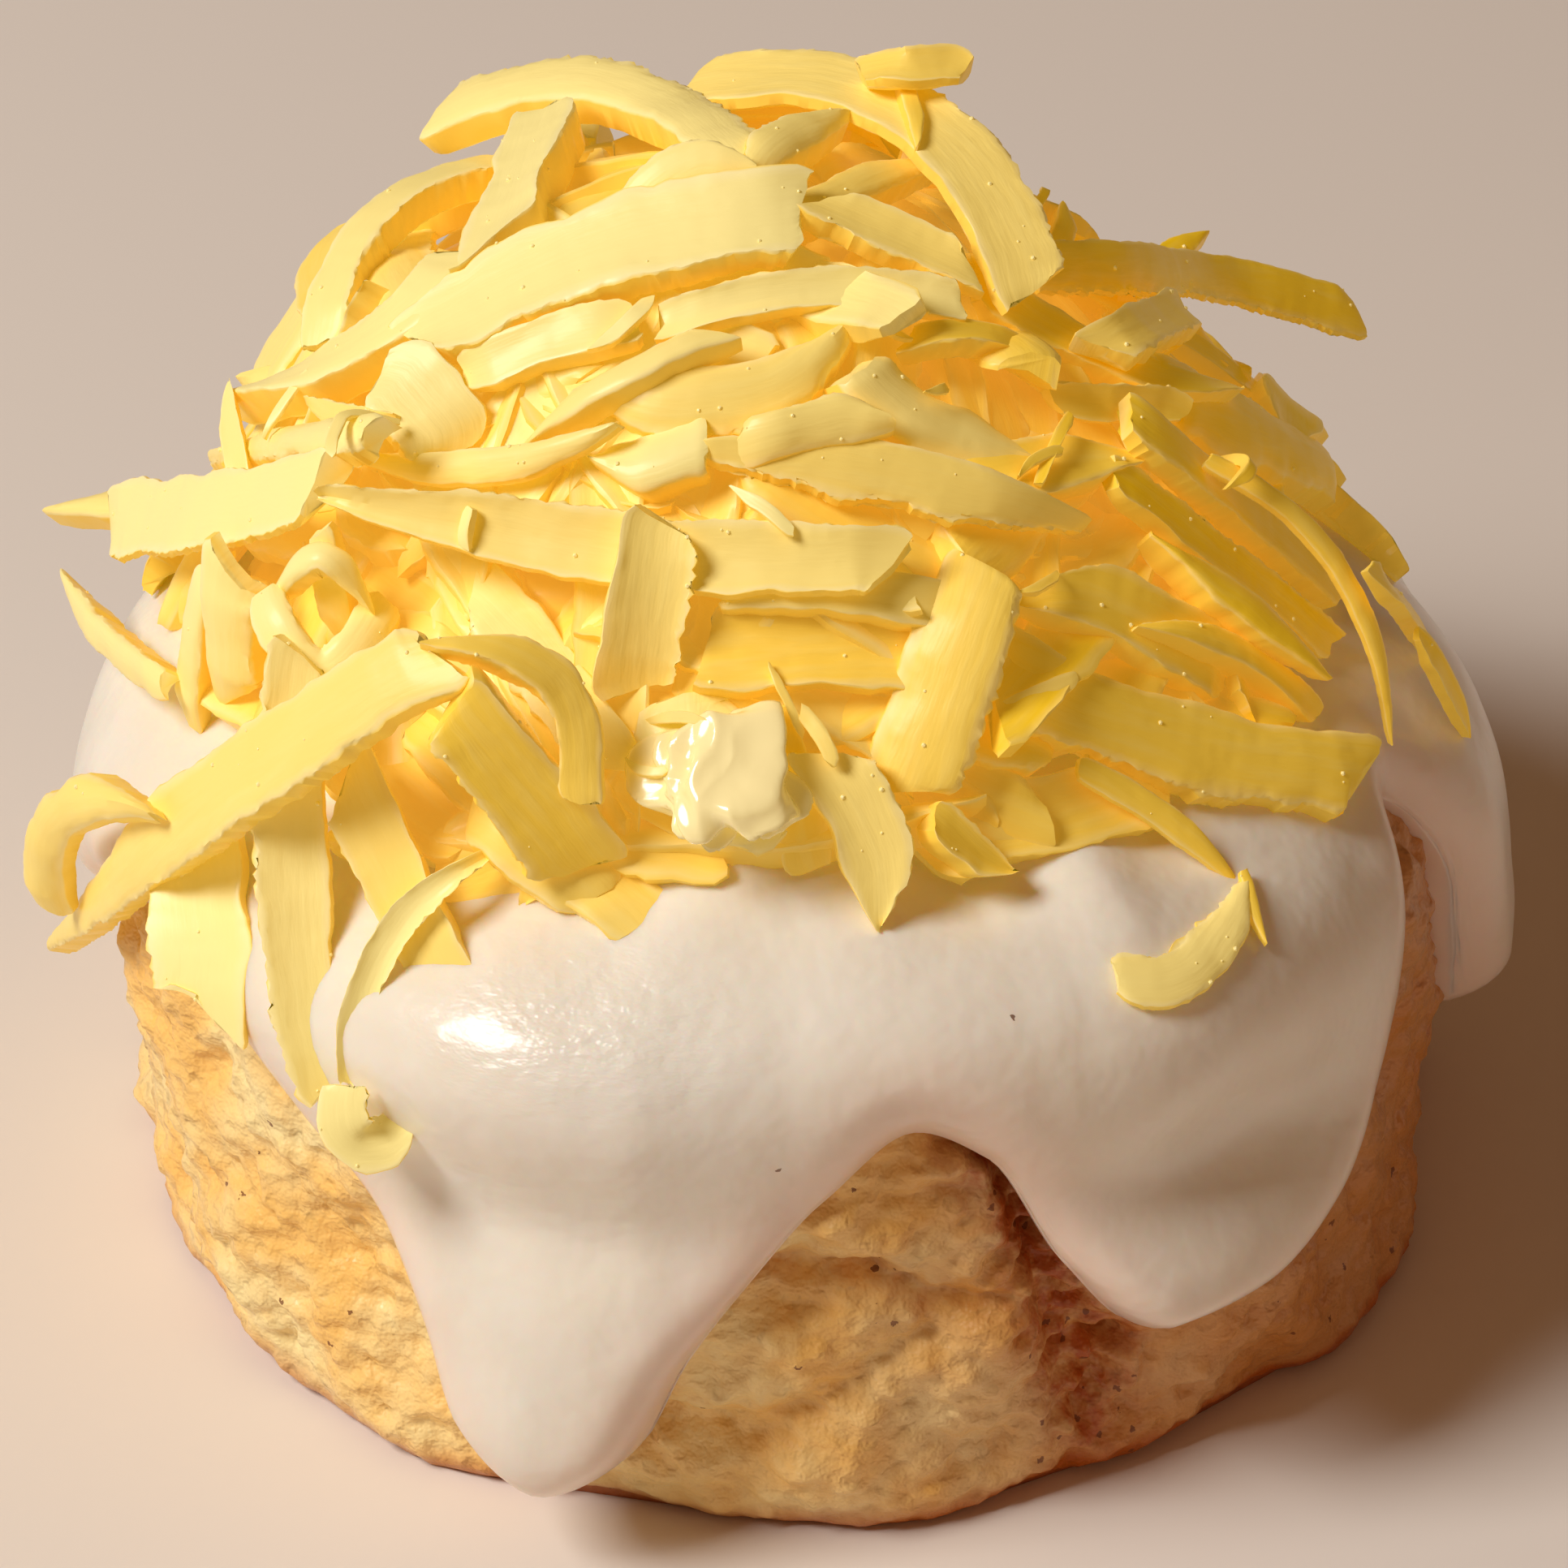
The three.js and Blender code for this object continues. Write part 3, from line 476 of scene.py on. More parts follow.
class Finish:
    """A material built round one Principled BSDF."""

    name = "finish"

    def material(self) -> bpy.types.Material:
        """Builds the material."""
        made = bpy.data.materials.new(self.name)
        made.use_nodes = True
        self.dress(Canvas(made.node_tree), made.node_tree.nodes["Principled BSDF"])
        return made

    def dress(self, canvas: Canvas, shader: bpy.types.Node) -> None:
        """Sets the shader's sockets and links what varies.

        Args:
            canvas: The material's tree.
            shader: Its Principled BSDF.
        """
        raise NotImplementedError

    @staticmethod
    def constants(shader: bpy.types.Node, **values: Value) -> None:
        """Sets plain values on the shader's own sockets, named with underscores for spaces."""
        for key, value in values.items():
            shader.inputs[key.replace("_", " ")].default_value = value

    @staticmethod
    def effect(canvas: Canvas, effect: Effect, **inputs: Value) -> Socket:
        """Places a shared effect.

        Args:
            canvas: The material's tree.
            effect: Which effect.
            inputs: Values or sockets for the group's inputs.

        Returns:
            The group's output.
        """
        return canvas.add("ShaderNodeGroup", inputs, node_tree=EFFECTS.group(effect)).outputs[0]

    @staticmethod
    def relief(canvas: Canvas, shader: bpy.types.Node, height: Socket, depth: float) -> None:
        """Links a height to the shader's normal.

        Args:
            canvas: The material's tree.
            shader: The shader.
            height: Height from 0 to 1.
            depth: What 1 stands for, in millimetres.
        """
        bump = canvas.add("ShaderNodeBump", {"Strength": 1.0, "Distance": depth * MM, "Height": height})
        canvas.end(bump.outputs[0], shader, "Normal")


@dataclass(frozen=True)
class CrustFinish(Finish):
    """Soft baked crust, with cinnamon in the seam, a baked brown foot, and painted shade: a browner right side."""

    name = "crust"
    pale: Colour = colour(255, 230, 164)
    gold: Colour = colour(255, 200, 106)
    brown: Colour = colour(188, 92, 8)
    cinnamon: Colour = colour(186, 92, 30)
    speck: Colour = colour(120, 62, 24)
    grain: float = 560.0
    pitted: float = 0.4

    def dress(self, canvas: Canvas, shader: bpy.types.Node) -> None:
        """See Finish.dress."""
        self.constants(shader, Roughness=0.45, Specular_IOR_Level=0.25, Coat_Weight=0.3, Coat_Roughness=0.12)
        base = self.effect(canvas, Effect.MOTTLE, Colour=self.pale, Patches=self.gold, Scale=120.0, Amount=0.9)
        # The crust turns brown at the baked foot, and painted shade makes the right side, away from the key light,
        # browner too.
        base = canvas.mix(canvas.stored("browned_and_shaded"), base, self.brown)
        seam = canvas.stored("seam")
        ragged = canvas.noise(canvas.place(), 420.0, roughness=0.7).outputs[0]
        spread = canvas.remap(ragged, (0.35, 0.65), (0.25, 1.35))
        base = canvas.mix(canvas.math("MULTIPLY", seam, spread, use_clamp=True), base, self.cinnamon)
        share = canvas.plus(canvas.product(seam, 0.4), 0.035)
        base = self.effect(canvas, Effect.SPECKS, Colour=base, Speck=self.speck, Scale=900.0, Share=share)
        canvas.end(base, shader, "Base Color")
        grain = self.effect(canvas, Effect.GRAIN, Scale=self.grain, Stretch=1.15)
        pits = self.effect(canvas, Effect.PITS, Scale=self.grain)
        self.relief(canvas, shader, canvas.plus(grain, canvas.product(pits, self.pitted)), 0.6)


@dataclass(frozen=True)
class IcingFinish(Finish):
    """Glossy off-white icing, warmer where it is thin."""

    name = "icing"
    white: Colour = colour(247, 240, 228)
    cream: Colour = colour(242, 230, 210)
    blush: Colour = colour(240, 208, 188)
    speck: Colour = colour(120, 70, 35)

    def dress(self, canvas: Canvas, shader: bpy.types.Node) -> None:
        """See Finish.dress."""
        self.constants(
            shader, Roughness=0.3, Subsurface_Weight=0.6, Subsurface_Radius=(1.0, 0.55, 0.35),
            Subsurface_Scale=1.8 * MM, Coat_Weight=0.4, Coat_Roughness=0.12, Specular_IOR_Level=0.45,
        )
        base = self.effect(canvas, Effect.MOTTLE, Colour=self.white, Patches=self.cream, Scale=60.0, Amount=0.6)
        base = canvas.mix(canvas.product(canvas.stored("thin"), 0.7), base, self.blush)
        base = self.effect(canvas, Effect.SPECKS, Colour=base, Speck=self.speck, Scale=900.0, Share=0.0015)
        canvas.end(base, shader, "Base Color")
        swell = self.effect(canvas, Effect.GRAIN, Scale=170.0)
        folds = self.effect(canvas, Effect.GRAIN, Scale=420.0, Stretch=2.6)
        height = canvas.plus(swell, canvas.product(canvas.stored("crinkled"), folds))
        self.relief(canvas, shader, height, 0.35)


@dataclass(frozen=True)
class CheeseFinish(Finish):
    """Moist grated cheese: painted light makes it pale where its heap faces the key light and riper away from it, and
    a painted glow, an emission, lights it from within, most where shreds lie close.
    """

    name = "cheese"
    pale: Colour = colour(253, 238, 164)
    body: Colour = colour(253, 215, 100)
    ripe_and_shaded: Colour = colour(255, 208, 28)
    deep: Colour = colour(253, 211, 84)
    torn: Colour = colour(255, 243, 204)
    # Painted glow: emission colours standing in for light shining through the cheese, a weak one everywhere and a
    # stronger one deep in the heap and on the strips' flanks.
    painted_glow: Colour = (0.12, 0.084, 0.001, 1.0)
    painted_deep_glow: Colour = (0.15, 0.115, 0.018, 1.0)
    drawn: tuple[float, float, float] = (190.0, 1300.0, 40.0)

    def dress(self, canvas: Canvas, shader: bpy.types.Node) -> None:
        """See Finish.dress."""
        self.constants(shader, Specular_IOR_Level=0.25, Coat_Roughness=0.16, Emission_Strength=1.0)
        tint, depth, flank, wet = (canvas.stored(name) for name in ("tint", "depth", "flank", "wet"))
        # Painted light: tint runs from ripe, where the heap faces away from the key light, to pale, where it faces
        # it, with a random part and the cut's own paleness.
        base = canvas.mix(canvas.remap(tint, (0.0, 0.5)), self.ripe_and_shaded, self.body)
        base = canvas.mix(canvas.remap(tint, (0.5, 1.0)), base, self.pale)
        # Painted glow in recesses: deeper in the heap the colour turns to the deep, more saturated yellow.
        base = canvas.mix(depth, base, self.deep)
        grain = canvas.vector("MULTIPLY", canvas.stored("grain", "Vector"), self.drawn)
        streaks = canvas.add("ShaderNodeTexNoise", {"Vector": grain, "Scale": 1.0, "Detail": 3.0}).outputs[0]
        base = canvas.mix(canvas.remap(streaks, (0.45, 0.75), (0.0, 0.2)), base, self.pale)
        # Painted glow on the flanks: the strips' sides take the deep colour.
        base = canvas.mix(canvas.product(flank, 0.8), base, self.deep)
        base = canvas.mix(canvas.product(canvas.stored("edge"), 0.4), base, self.torn)
        canvas.end(base, shader, "Base Color")
        # Painted glow: the emission rises from the weak colour to the strong one deep in the heap and on the flanks.
        within = canvas.math("MAXIMUM", depth, canvas.product(flank, 0.5))
        canvas.end(canvas.mix(within, self.painted_glow, self.painted_deep_glow), shader, "Emission Color")
        canvas.end(canvas.remap(wet, (0.0, 1.0), (0.4, 0.12)), shader, "Roughness")
        canvas.end(canvas.remap(wet, (0.0, 1.0), (0.1, 1.0)), shader, "Coat Weight")
        pits = self.effect(canvas, Effect.PITS, Scale=620.0)
        self.relief(canvas, shader, canvas.plus(canvas.product(pits, 0.2), streaks), 0.08)


@dataclass(frozen=True)
class FloorFinish(Finish):
    """A plain pale floor."""

    name = "floor"

    def dress(self, canvas: Canvas, shader: bpy.types.Node) -> None:
        """See Finish.dress."""
        self.constants(shader, Base_Color=(0.84, 0.77, 0.70, 1), Roughness=0.9, Specular_IOR_Level=0.1)


# ------------------------------------------------------------------ bun


@dataclass(frozen=True)
class Crease:
    """A furrow in the bun's side.

    Attributes:
        width: How far it reaches to each side.
        depth: How deep it is.
        run: Azimuth in degrees and height of its corners.
        cinnamon: How much filling shows in it, from 0 to 1.
    """

    width: float
    depth: float
    run: Table
    cinnamon: float = 0.0

    def distance(self, across: Array, up: Array, radius: float) -> Array:
        """How far points of the unrolled side lie from the furrow.

        Args:
            across: Millimetres round the bun.
            up: Heights.
            radius: The bun's radius.

        Returns:
            Distances in millimetres.
        """
        nearest = np.full(across.shape, 1e9)
        for (a0, z0), (a1, z1) in zip(self.run, self.run[1:]):
            ax, bx = math.radians(a0) * radius, math.radians(a1) * radius
            dx, dz = bx - ax, z1 - z0
            share = np.clip(((across - ax) * dx + (up - z0) * dz) / (dx * dx + dz * dz), 0, 1)
            nearest = np.minimum(nearest, np.hypot(across - ax - share * dx, up - z0 - share * dz))
        return nearest


@dataclass
class Bun:
    """The bread under the icing.

    Attributes:
        waves: Height, count and phase of the swellings of its girth, as shares of the radius.
        lumps: Height, count round the bun, count up it and phase of the swellings of its side.
        foot: Radius of its foot at azimuths in degrees.
        seam_reach: How much farther than a furrow its cinnamon reaches.
        rim: Radius of the lowest ring as a share of the one above.
        shade: Azimuths in degrees where the painted shade, a browner crust on the right side, begins and ends.
    """

    radius: float = 40.3
    height: float = 44.0
    shoulder: float = 24.0
    crown_power: float = 2.25
    tuck_power: float = 2.6
    lip: float = 1.8
    columns: int = 560
    crown_rows: int = 14
    side_rows: int = 130
    side_top: float = 36.0
    seam_reach: float = 1.9
    rim: float = 0.992
    shade: tuple[float, float] = (-5.0, 150.0)
    shade_soft: float = 50.0
    shade_most: float = 0.7
    waves: tuple[tuple[float, int, float], ...] = ((0.012, 2, 0.6), (0.010, 3, 2.1), (0.006, 5, 0.9))
    lumps: tuple[tuple[float, float, float, float], ...] = (
        (0.45, 7, 0.16, 0.4), (0.3, 11, -0.24, 1.9), (0.25, 17, 0.33, 4.1),
    )
    foot: Table = (
        (-180, 38.6), (-135, 39), (-90, 40), (-56, 39.8), (-26, 40), (-7, 39), (11, 40), (29, 39.2),
        (48, 40.2), (67, 40.8), (112, 39.8), (150, 38.6),
    )
    creases: tuple[Crease, ...] = (
        Crease(1.7, 1.8, ((16.5, 30), (17.5, 28), (21.8, 20), (24, 14), (27, 8), (28, 5)), 1.0),
        Crease(1.2, 1.2, ((23, 15), (30, 10)), 0.8),
        Crease(0.9, 2.4, ((21.8, 20.6), (22.2, 19.6)), 1.0),
        Crease(0.8, 2.2, ((29.8, 10.4), (30.2, 9.8)), 1.0),
        Crease(1.0, 1.5, ((-5, 20.4), (6.5, 20), (12.5, 17.3), (17, 17)), 0.3),
        Crease(1.4, 1.4, ((-12, 8), (-2, 7.5), (5, 12), (12, 15))),
        Crease(2.2, 1.0, ((-58, 20), (-47, 16), (-40, 13))),
    )

    quarter = math.pi / 2
    foot_polar = math.pi / 2 + 1
    step = 1e-3

    def girth(self, azimuth: Array) -> Array:
        """Share of the radius at each azimuth, near 1."""
        return 1 + sum(share * np.cos(count * azimuth - phase) for share, count, phase in self.waves)

    def profile(self, azimuth: Array, polar: Array) -> tuple[Array, Array]:
        """Radius and height of the bun's smooth skin.

        Args:
            azimuth: Azimuths in radians.
            polar: 0 at the top, a right angle at the shoulder, one more at the foot.

        Returns:
            Radii and heights.
        """
        azimuth, polar = np.broadcast_arrays(azimuth, polar)
        shoulder = self.radius * self.girth(azimuth)
        up = np.clip(polar, 0, self.quarter)
        sine, cosine = np.sin(up), np.clip(np.cos(up), 0, 1)
        crown_r = shoulder * sine ** (2 / self.crown_power)
        crown_z = self.shoulder + (self.height - self.shoulder) * cosine ** (2 / self.crown_power)
        down = np.clip(polar - self.quarter, 0, None)
        tuck = (shoulder - round_curve(self.foot, azimuth)) * down**self.tuck_power
        into = np.clip(1 - (1 - down) * self.shoulder / self.lip, 0, 1)
        rounding = self.lip * (1 - np.sqrt(1 - into**2))
        on_side = polar > self.quarter
        r = np.where(on_side, shoulder - tuck - rounding, crown_r)
        return r, np.where(on_side, self.shoulder * (1 - down), crown_z)

    def polar_at(self, z: Array) -> Array:
        """The polar at which the skin has a height.

        Args:
            z: Heights.

        Returns:
            Polars.
        """
        z = np.asarray(z, dtype=float)
        share = np.clip((z - self.shoulder) / (self.height - self.shoulder), 0, 1)
        crown = np.arccos(share ** (self.crown_power / 2))
        return np.where(z >= self.shoulder, crown, self.quarter + 1 - z / self.shoulder)

    def on_skin(self, azimuth: Array, polar: Array) -> Array:
        """Points of the smooth skin."""
        r, z = self.profile(azimuth, polar)
        return np.stack([r * np.sin(azimuth), -r * np.cos(azimuth), z], axis=-1)

    def point(self, azimuth: Array, polar: Array, push: Array | float = 0.0) -> Array:
        """Points of the skin, pushed out along the smooth normal.

        Args:
            azimuth: Azimuths in radians.
            polar: Polars of the same shape.
            push: How far out, in millimetres.

        Returns:
            Points, with one more axis than the azimuths.
        """
        azimuth, polar = np.broadcast_arrays(azimuth, polar)
        low, high = np.minimum(polar + self.step, self.foot_polar), np.maximum(polar - self.step, 1e-6)
        down = self.on_skin(azimuth, low) - self.on_skin(azimuth, high)
        along = self.on_skin(azimuth + self.step, polar) - self.on_skin(azimuth - self.step, polar)
        return self.on_skin(azimuth, polar) + unit(np.cross(down, along)) * np.asarray(push)[..., None]

    def relief(self, azimuth: Array, z: Array) -> tuple[Array, Array]:
        """The creases and lumps of the side.

        Args:
            azimuth: Azimuths in radians.
            z: Heights.

        Returns:
            Height over the smooth skin, and how much cinnamon shows.
        """
        height, seam = np.zeros(z.shape), np.zeros(z.shape)
        for crease in self.creases:
            off = crease.distance(azimuth * self.radius, z, self.radius)
            height -= crease.depth * np.exp(-((off / crease.width) ** 2))
            filling = np.exp(-((off / (crease.width * self.seam_reach)) ** 2))
            seam = np.maximum(seam, crease.cinnamon * filling)
        for lump, round_it, up, phase in self.lumps:
            height += lump * np.sin(round_it * azimuth + up * z + phase)
        return height, seam

    @staticmethod
    def wrinkles(points: Array, seam: Array) -> Array:
        """Fine unevenness of the baked skin.

        Args:
            points: Points of the smooth skin.
            seam: How much cinnamon shows at each.

        Returns:
            Heights of soft bumps, dimples, swellings and torn dough.
        """
        flat = points.reshape(-1, 3)
        wrinkle = 0.55 * smooth_noise(flat * (0.8, 0.8, 1.0), 1.8, 3.1) + 0.38 * smooth_noise(flat, 0.9, 5.2)
        dimple = -1.2 * np.clip(smooth_noise(flat, 2.2, 8.8) - 0.25, 0, 1)
        swelling = 1.1 * smooth_noise(flat, 5.5, 1.3)
        torn = seam.ravel() * (1.7 * smooth_noise(flat, 1.4, 9.7) - 0.35)
        return (wrinkle + dimple + swelling + torn).reshape(points.shape[:-1])

    def browning_and_shade(self, azimuths: Array, z: Array) -> Array:
        """How brown the crust is at rings of points.

        Args:
            azimuths: Azimuth of each column in radians.
            z: Heights, one row for each ring.

        Returns:
            Shares from 0 to 1: a baked brown foot of uneven height, and painted shade: a browner right side, away
                from the key light.
        """
        uneven = 1.2 + 0.8 * np.sin(5 * azimuths) + 0.6 * np.sin(13 * azimuths + 1)
        foot = np.clip(1 - z / (1.6 + uneven * 0.6), 0, 1)
        # Painted shade: the right side, away from the key light, is browner.
        degrees = np.degrees(azimuths)
        start = np.clip((degrees - self.shade[0]) / self.shade_soft, 0, 1)
        end = np.clip((self.shade[1] - degrees) / self.shade_soft, 0, 1)
        return np.clip(foot + (self.shade_most * start * end)[None, :], 0, 1)

    def build(self) -> bpy.types.Object:
        """Makes the bun's mesh, with the attributes for the seam and for the baked brown foot with painted shade on
        the right side.
        """
        azimuths = around(self.columns)
        crown = float(self.polar_at(self.side_top)) * (np.arange(self.crown_rows) + 1) / (self.crown_rows + 1)
        side = self.polar_at(np.linspace(self.side_top, 0.25, self.side_rows))
        azimuth, polar = np.meshgrid(azimuths, np.concatenate([crown, side]))
        z = self.profile(azimuth, polar)[1]
        height, seam = self.relief(azimuth, z)
        push = height + self.wrinkles(self.point(azimuth, polar), seam) * np.clip(z / 2.0, 0.15, 1)
        rings = self.point(azimuth, polar, push)
        rings[..., 2] = np.maximum(rings[..., 2], 0.05)
        rim = rings[-1] * (self.rim, self.rim, 0.0)
        rings = np.concatenate([rings, rim[None]])
        piece = closed_skin("bun_crust", (0, 0, self.height), rings, (0, 0, 0))
        none = np.zeros((1, self.columns))
        browned_and_shaded = self.browning_and_shade(azimuths, np.concatenate([z, none]))
        set_attribute(piece.data, "browned_and_shaded", np.concatenate([[0], browned_and_shaded.ravel(), [1]]))
        set_attribute(piece.data, "seam", np.concatenate([[0], seam.ravel(), none[0], [0]]))
        return piece


# ------------------------------------------------------------------ icing


@dataclass(frozen=True)
class Swell:
    """A place where the icing is thicker or thinner.

    Attributes:
        azimuth: Degrees from the front.
        height: Height of its middle.
        across: Reach round the bun, in millimetres.
        up: Reach up and down.
        lift: Extra thickness, negative for a hollow.
    """

    azimuth: float
    height: float
    across: float
    up: float
    lift: float


@dataclass
class Icing:
    """The white icing, a shell that wraps the bun down to a wavy edge.

    Attributes:
        bead: How far from the edge the icing reaches its full thickness.
        run_swell: Extra thickness of the lowest runs.
        hem_start: Polar from which the rings follow the edge.
        crowding: How much closer the rings lie near the edge.
        sunk: How far its inner side lies inside the bun.
        thin_reach: How far from the edge it looks thin.
        crinkle_at: The middle of the finely crinkled place.
        crinkle_reach: Half its size.
        edge: Height of the edge at azimuths in degrees.
    """

    bun: Bun
    thickness: float = 3.5
    bead: float = 3.2
    run_swell: float = 2.2
    columns: int = 480
    top_rows: int = 40
    hem_rows: int = 50
    inside_rows: int = 12
    hem_start: float = math.radians(44)
    crowding: float = 1.8
    sunk: float = 0.7
    thin_reach: float = 3.2
    crinkle_at: tuple[float, float, float] = (-11.0, -38.0, 37.0)
    crinkle_reach: tuple[float, float, float] = (9.0, 6.0, 4.0)
    edge: Table = (
        (-180, 15), (-163, 24), (-148, 27), (-130, 11), (-117, 25), (-104, 24), (-90, 19), (-76, 26),
        (-60, 29), (-50, 27), (-41, 23), (-35.5, 20), (-30.5, 14.5), (-26.5, 8.8), (-18.5, 4.4), (-11.5, 8),
        (-7.5, 14.5), (-3, 20), (3, 26), (10.5, 30), (16.5, 28), (22.5, 20), (29, 14.4), (37.5, 14.6),
        (48, 16.8), (56.5, 22), (62, 28.5), (69.5, 33.5), (76, 27), (82, 13.5), (90, 10.4), (98, 14),
        (108, 26), (122, 28), (139, 8), (155, 25),
    )
    swells: tuple[Swell, ...] = (
        Swell(-19, 9.5, 8, 5, 2.0),
        Swell(-19, 23.5, 13, 4.6, -3.2),
        Swell(-22, 31.5, 16, 3.6, 3.0),
        Swell(4, 27, 7, 4, -1.6),
        Swell(8, 34, 9, 3, 1.4),
        Swell(33, 18, 8, 4, 1.6),
        Swell(36, 25, 13, 3.8, -2.8),
        Swell(30, 32.5, 13, 3.5, 2.2),
        Swell(20, 39, 5, 2.2, -1.4),
        Swell(41, 38, 5, 2.2, -1.1),
        Swell(31, 37, 3, 2.5, 0.8),
        Swell(90, 16, 6, 6, 0.8),
        Swell(-8, 38, 3.5, 2.5, 0.6),
    )

    def edge_polar(self, azimuth: Array) -> Array:
        """The polar of the edge at each azimuth."""
        return self.bun.polar_at(round_curve(self.edge, azimuth))

    def edge_distance(self, points: Array) -> Array:
        """How far points of the bun's skin lie from the icing's edge.

        Args:
            points: The points.

        Returns:
            One distance for each.
        """
        azimuths = around(1440)
        line = self.bun.point(azimuths, self.edge_polar(azimuths))
        tree = KDTree(len(line))
        for i, p in enumerate(line):
            tree.insert(p, i)
        tree.balance()
        return np.array([tree.find(p)[2] for p in points.reshape(-1, 3)]).reshape(points.shape[:-1])

    def depth(self, azimuth: Array, skin: Array, from_edge: Array) -> Array:
        """Thickness of the icing.

        Args:
            azimuth: Azimuths in radians.
            skin: The points of the bun's skin under it.
            from_edge: How far those lie from the icing's edge.

        Returns:
            Thicknesses in millimetres.
        """
        bun, z = self.bun, skin[..., 2]
        inward = np.minimum(1, from_edge / self.bead)
        run = np.clip((bun.shoulder - round_curve(self.edge, azimuth)) / bun.shoulder, 0, 1)
        low = np.clip((bun.height - z) / (bun.height - bun.shoulder), 0, 1)
        full = self.thickness + self.run_swell * run * low
        for swell in self.swells:
            turn = np.mod(azimuth - math.radians(swell.azimuth) + math.pi, FULL_TURN) - math.pi
            off = (turn * bun.radius / swell.across) ** 2 + ((z - swell.height) / swell.up) ** 2
            full = full + swell.lift * np.exp(-off)
        waves = 0.28 * smooth_noise(skin, 9.0, 2.2) + 0.13 * smooth_noise(skin, 4.0, 6.1)
        return (full + waves.reshape(full.shape)) * np.sqrt(1 - (1 - inward) ** 2)

    def build(self) -> bpy.types.Object:
        """Makes the icing's closed shell, with the attributes "crinkled" and "thin"."""
        azimuths = around(self.columns)
        edge = self.edge_polar(azimuths)
        top = self.hem_start * (np.arange(self.top_rows) + 1) / self.top_rows
        share = 1 - (1 - (np.arange(self.hem_rows) + 1) / self.hem_rows) ** self.crowding
        hem = self.hem_start + (edge[None, :] - self.hem_start) * share[:, None]
        polar = np.concatenate([np.repeat(top[:, None], self.columns, axis=1), hem])
        azimuth = np.broadcast_to(azimuths, polar.shape)
        skin = self.bun.point(azimuth, polar)
        from_edge = self.edge_distance(skin)
        outer = self.bun.point(azimuth, polar, self.depth(azimuth, skin, from_edge))
        back = np.linspace(1, 0.08, self.inside_rows)[:, None] * (edge[None, :] - 0.01)
        inner = self.bun.point(np.broadcast_to(azimuths, back.shape), back, -self.sunk)
        crown = self.bun.height
        first, last = (0, 0, crown + self.thickness), (0, 0, crown - self.sunk)
        piece = closed_skin("icing_coat", first, np.concatenate([outer, inner]), last)
        points = np.concatenate([[first], outer.reshape(-1, 3), inner.reshape(-1, 3), [last]])
        off = np.linalg.norm((points - self.crinkle_at) / self.crinkle_reach, axis=1)
        set_attribute(piece.data, "crinkled", np.clip(1.4 - off, 0, 1))
        thin = np.exp(-((from_edge.ravel() / self.thin_reach) ** 2))
        set_attribute(piece.data, "thin", np.concatenate([[0], thin, np.ones(back.size + 1)]))
        return piece


# ------------------------------------------------------------------ shreds


class Tip(Enum):
    """How broad a shred's end is, by the shred's width, and over how much of the length it narrows."""

    POINTED = (0.1, 0.34)
    TORN = (0.6, 0.16)
    BLUNT = (0.9, 0.05)

    @property
    def breadth(self) -> float:
        """Share of the width at the end."""
        return self.value[0]

    def taper(self, places: Array) -> Array:
        """Share of the full width along a strip, from 0 at this end to 1 at the other."""
        breadth, reach = self.value
        return breadth + (1 - breadth) * np.minimum(1, places / reach) ** 0.75


@dataclass(frozen=True)
class Kind:
    """A way of being cut.

    Attributes:
        thick: Share of the full thickness.
        torn: How torn the edges are.
        paler: How much paler than others.
    """

    thick: float
    torn: float
    paler: float


class Cut(Enum):
    """How a shred was cut."""

    STRIP = Kind(1.0, 0.6, 0.0)
    RIPE = Kind(1.0, 0.6, -0.3)
    FRESH = Kind(1.0, 0.6, 0.3)
    THREAD = Kind(0.55, 0.3, 0.15)
    SHAVING = Kind(0.3, 1.4, 0.75)


@dataclass(frozen=True)
class Shred:
    """One strip of cheese as it is seen from a seat.

    Attributes:
        start: Millimetres right of and above the point looked at, where it starts.
        end: The same where it ends.
        bow: How far its middle bends to the left of the line between them.
        width: Its width.
        first: Its first end.
        last: Its last end.
        cut: How it was cut.
    """

    start: tuple[float, float]
    end: tuple[float, float]
    bow: float
    width: float
    first: Tip
    last: Tip
    cut: Cut = Cut.STRIP


@dataclass(frozen=True)
class Mound:
    """The outer form of the heap, a paraboloid.

    Attributes:
        x: Where its axis stands.
        y: The same from front to back.
        radius: Its radius at the foot.
        foot: Height of its foot.
        rise: How far the top lies above the foot.
        loose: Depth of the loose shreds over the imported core.
    """

    x: float = -3.0
    y: float = 0.0
    radius: float = 39.0
    foot: float = 33.0
    rise: float = 41.0
    loose: float = 5.0

    def away(self, points: Array) -> Array:
        """How far points lie from its axis."""
        return np.hypot(points[..., 0] - self.x, points[..., 1] - self.y)

    def height(self, x: Array, y: Array) -> Array:
        """Height of the outer form."""
        return self.foot + self.rise * (1 - ((x - self.x) ** 2 + (y - self.y) ** 2) / self.radius**2)

    def normal(self, points: Array) -> Array:
        """Outward directions of the outer form at points.

        Args:
            points: The points.

        Returns:
            One direction for each.
        """
        fall = 2 * self.rise / self.radius**2
        flat = [fall * (points[..., 0] - self.x), fall * (points[..., 1] - self.y)]
        return unit(np.stack([*flat, np.ones(points.shape[:-1])], axis=-1))


